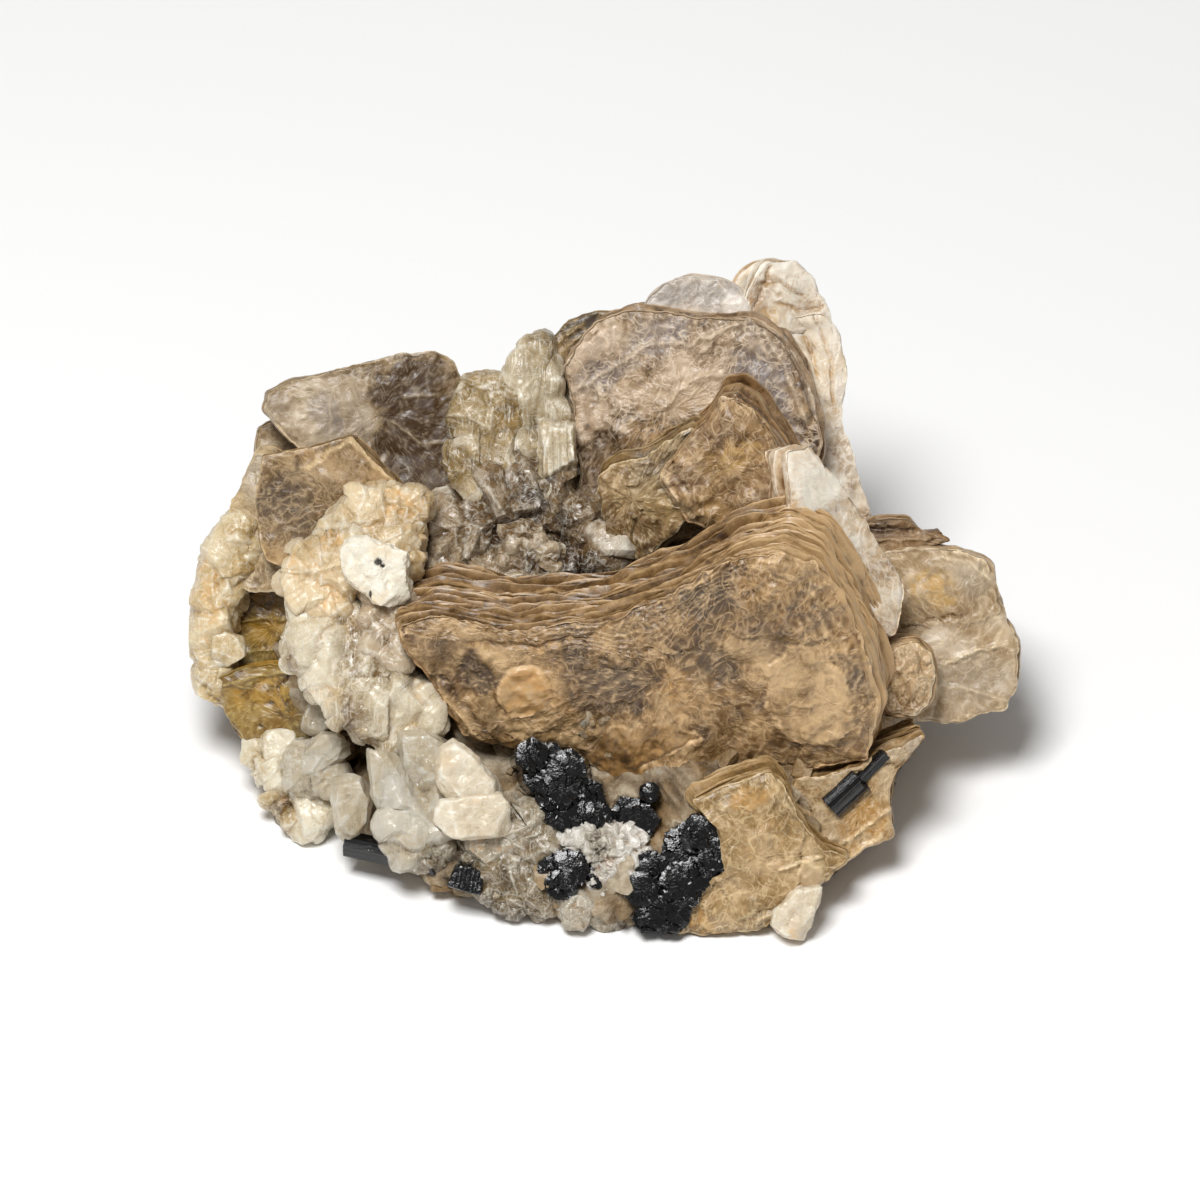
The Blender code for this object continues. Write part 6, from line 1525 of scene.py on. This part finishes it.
def cleavage_block(centre, size, turn, seed):
    """A broken feldspar block: the soft solid of a box, its faces split in steps along the cleavage.

    Near each face, the local place along that face's direction drops by whole steps where slow noise is high.
    """
    around = ball_grid(30, 52)
    half = np.array(size) / 2.0
    box = np.concatenate([np.eye(3), -np.eye(3)])
    directions = around * half
    directions /= np.linalg.norm(directions, axis=-1, keepdims=True)
    reach, _ = soft_solid(directions.reshape(-1, 3), box, np.concatenate([half, half]), SOFT_BOX)
    local = directions * reach.reshape(30, 52, 1)
    for axis in range(3):
        spread = local.copy()
        spread[..., axis] *= 0.15
        steps = np.floor(4.0 * np.clip(fractal(spread / 4.0, 2, seed + axis), 0.0, 1.0)) * 0.35
        facing = smooth_step(0.8, 0.97, np.abs(local[..., axis]) / half[axis])
        local[..., axis] -= np.sign(local[..., axis]) * steps * facing
    local += directions * (0.25 * fractal(local * 0.8, 3, seed + 9))[..., None]
    grid = local @ np.array(Euler(turn).to_matrix()).T + np.array(centre)
    marks = {"tone": 0.5 + 0.2 * fractal(local / 3.0, 3, seed),
             "gold": np.clip(fractal(local / 3.0, 2, seed + 3), 0, 1)}
    return grid[None] * MM, grid[None], one_copy(marks)


def rock_grains(low, high, count, size, seed):
    """Small crystals on the rock's own surface, at sunflower directions between two heights of the ball."""
    number = np.arange(count) + 0.5
    z = low + (high - low) * number / count
    flat = np.sqrt(1.0 - z * z)
    turn = GOLDEN_ANGLE * number
    directions = np.stack([flat * np.cos(turn), flat * np.sin(turn), z], axis=-1)
    centres = ROCK_HEART + directions * (rock_reach(directions) - 0.3 * size)[:, None]
    rng = np.random.default_rng(seed)
    sizes = size * rng.uniform(0.3, 1.0, (count, 1)) * rng.uniform(0.5, 1.3, (count, 3))
    grid, place, marks = grains(centres, sizes, seed)
    return grid * MM, place, marks


def matrix():
    """The rock that carries every crystal: its lumps, the cleavage blocks of its back, and grains."""
    around = ball_grid(160, 300)
    placed = ROCK_HEART + around * rock_reach(around)[..., None]
    rise, number, edge, crease = heap(placed, 2.4, 8)
    placed = placed + around * (1.2 * rise - 0.2 * np.abs(fractal(placed * 0.5, 3, 8)) - 1.2)[..., None]
    # The tone is paler on high crystals and darker in the creases between them, as painted light and shade.
    marks = {"tone": 0.3 + 0.3 * number + 0.12 * rise - 0.2 * crease + 0.2 * fractal(placed / 3.0, 3, 4),
             "edge": 0.5 * edge,
             "gold": np.clip(fractal(placed / 4.0, 3, 6), 0.0, 1.0)}
    shells = [(placed[None] * MM, placed[None], one_copy(marks))]
    shells += [cleavage_block(*block, seed=number) for number, block in enumerate(CLEAVAGE_BLOCKS)]
    shells.append(rock_grains(-0.6, 0.9, 300, 1.1, 5))
    carry(build("feldspar_matrix_rock", shells, rock_finish(), sharp=38.0), "feldspar_matrix")


LIGHTS = (("key", (-120.0, 330.0, 600.0), 0.24, 5.0), ("fill", (-500.0, -300.0, 300.0), 0.5, 0.4))


def stage():
    """A plain pale floor, a soft light from above the eye, a weak one beside it, and the eye at the
    photograph's angle."""
    bpy.ops.mesh.primitive_plane_add(size=4.0, location=(0.0, 0.0, -0.00005))
    floor = bpy.context.object
    floor.name = "floor"
    made, _, _ = new_material("floor_finish", Roughness=0.9, Base_Color=(0.96, 0.96, 0.96, 1.0))
    floor.data.materials.append(made)

    world = bpy.data.worlds.new("pale_room")
    world.use_nodes = True
    sky = world.node_tree.nodes["Background"]
    sky.inputs["Color"].default_value = (1.0, 0.99, 0.97, 1.0)
    sky.inputs["Strength"].default_value = 0.23
    bpy.context.scene.world = world

    target = to_row(np.array([0.0, 0.0, 0.0]))
    for name, place, size, power in LIGHTS:
        data = bpy.data.lights.new(name, "AREA")
        data.size, data.energy = size, power
        light = bpy.data.objects.new(name, data)
        light.location = to_row(np.array(place))
        aim = light.location - Vector(target)
        light.rotation_euler = aim.to_track_quat("Z", "Y").to_euler()
        bpy.context.scene.collection.objects.link(light)

    data = bpy.data.cameras.new("eye")
    data.lens, data.sensor_width = LENS, SENSOR
    eye = bpy.data.objects.new("eye", data)
    eye.location = to_row(np.array([0.0, 0.0, FRAME_WIDTH * LENS / SENSOR]))
    eye.rotation_euler = (math.pi / 2 - EYE_HEIGHT_ANGLE, 0.0, 0.0)
    data.clip_end = 20.0
    bpy.context.scene.collection.objects.link(eye)
    bpy.context.scene.camera = eye
    bpy.context.scene.view_settings.view_transform = "Standard"


front_books()
right_books()
back_books()
left_books()
chip_and_crust()
albite_band()
quartz_crystals()
feldspar_blocks()
tourmalines()
foot_crystals()
albite_columns()
hollow_floor()
left_crust()
matrix()
stage()
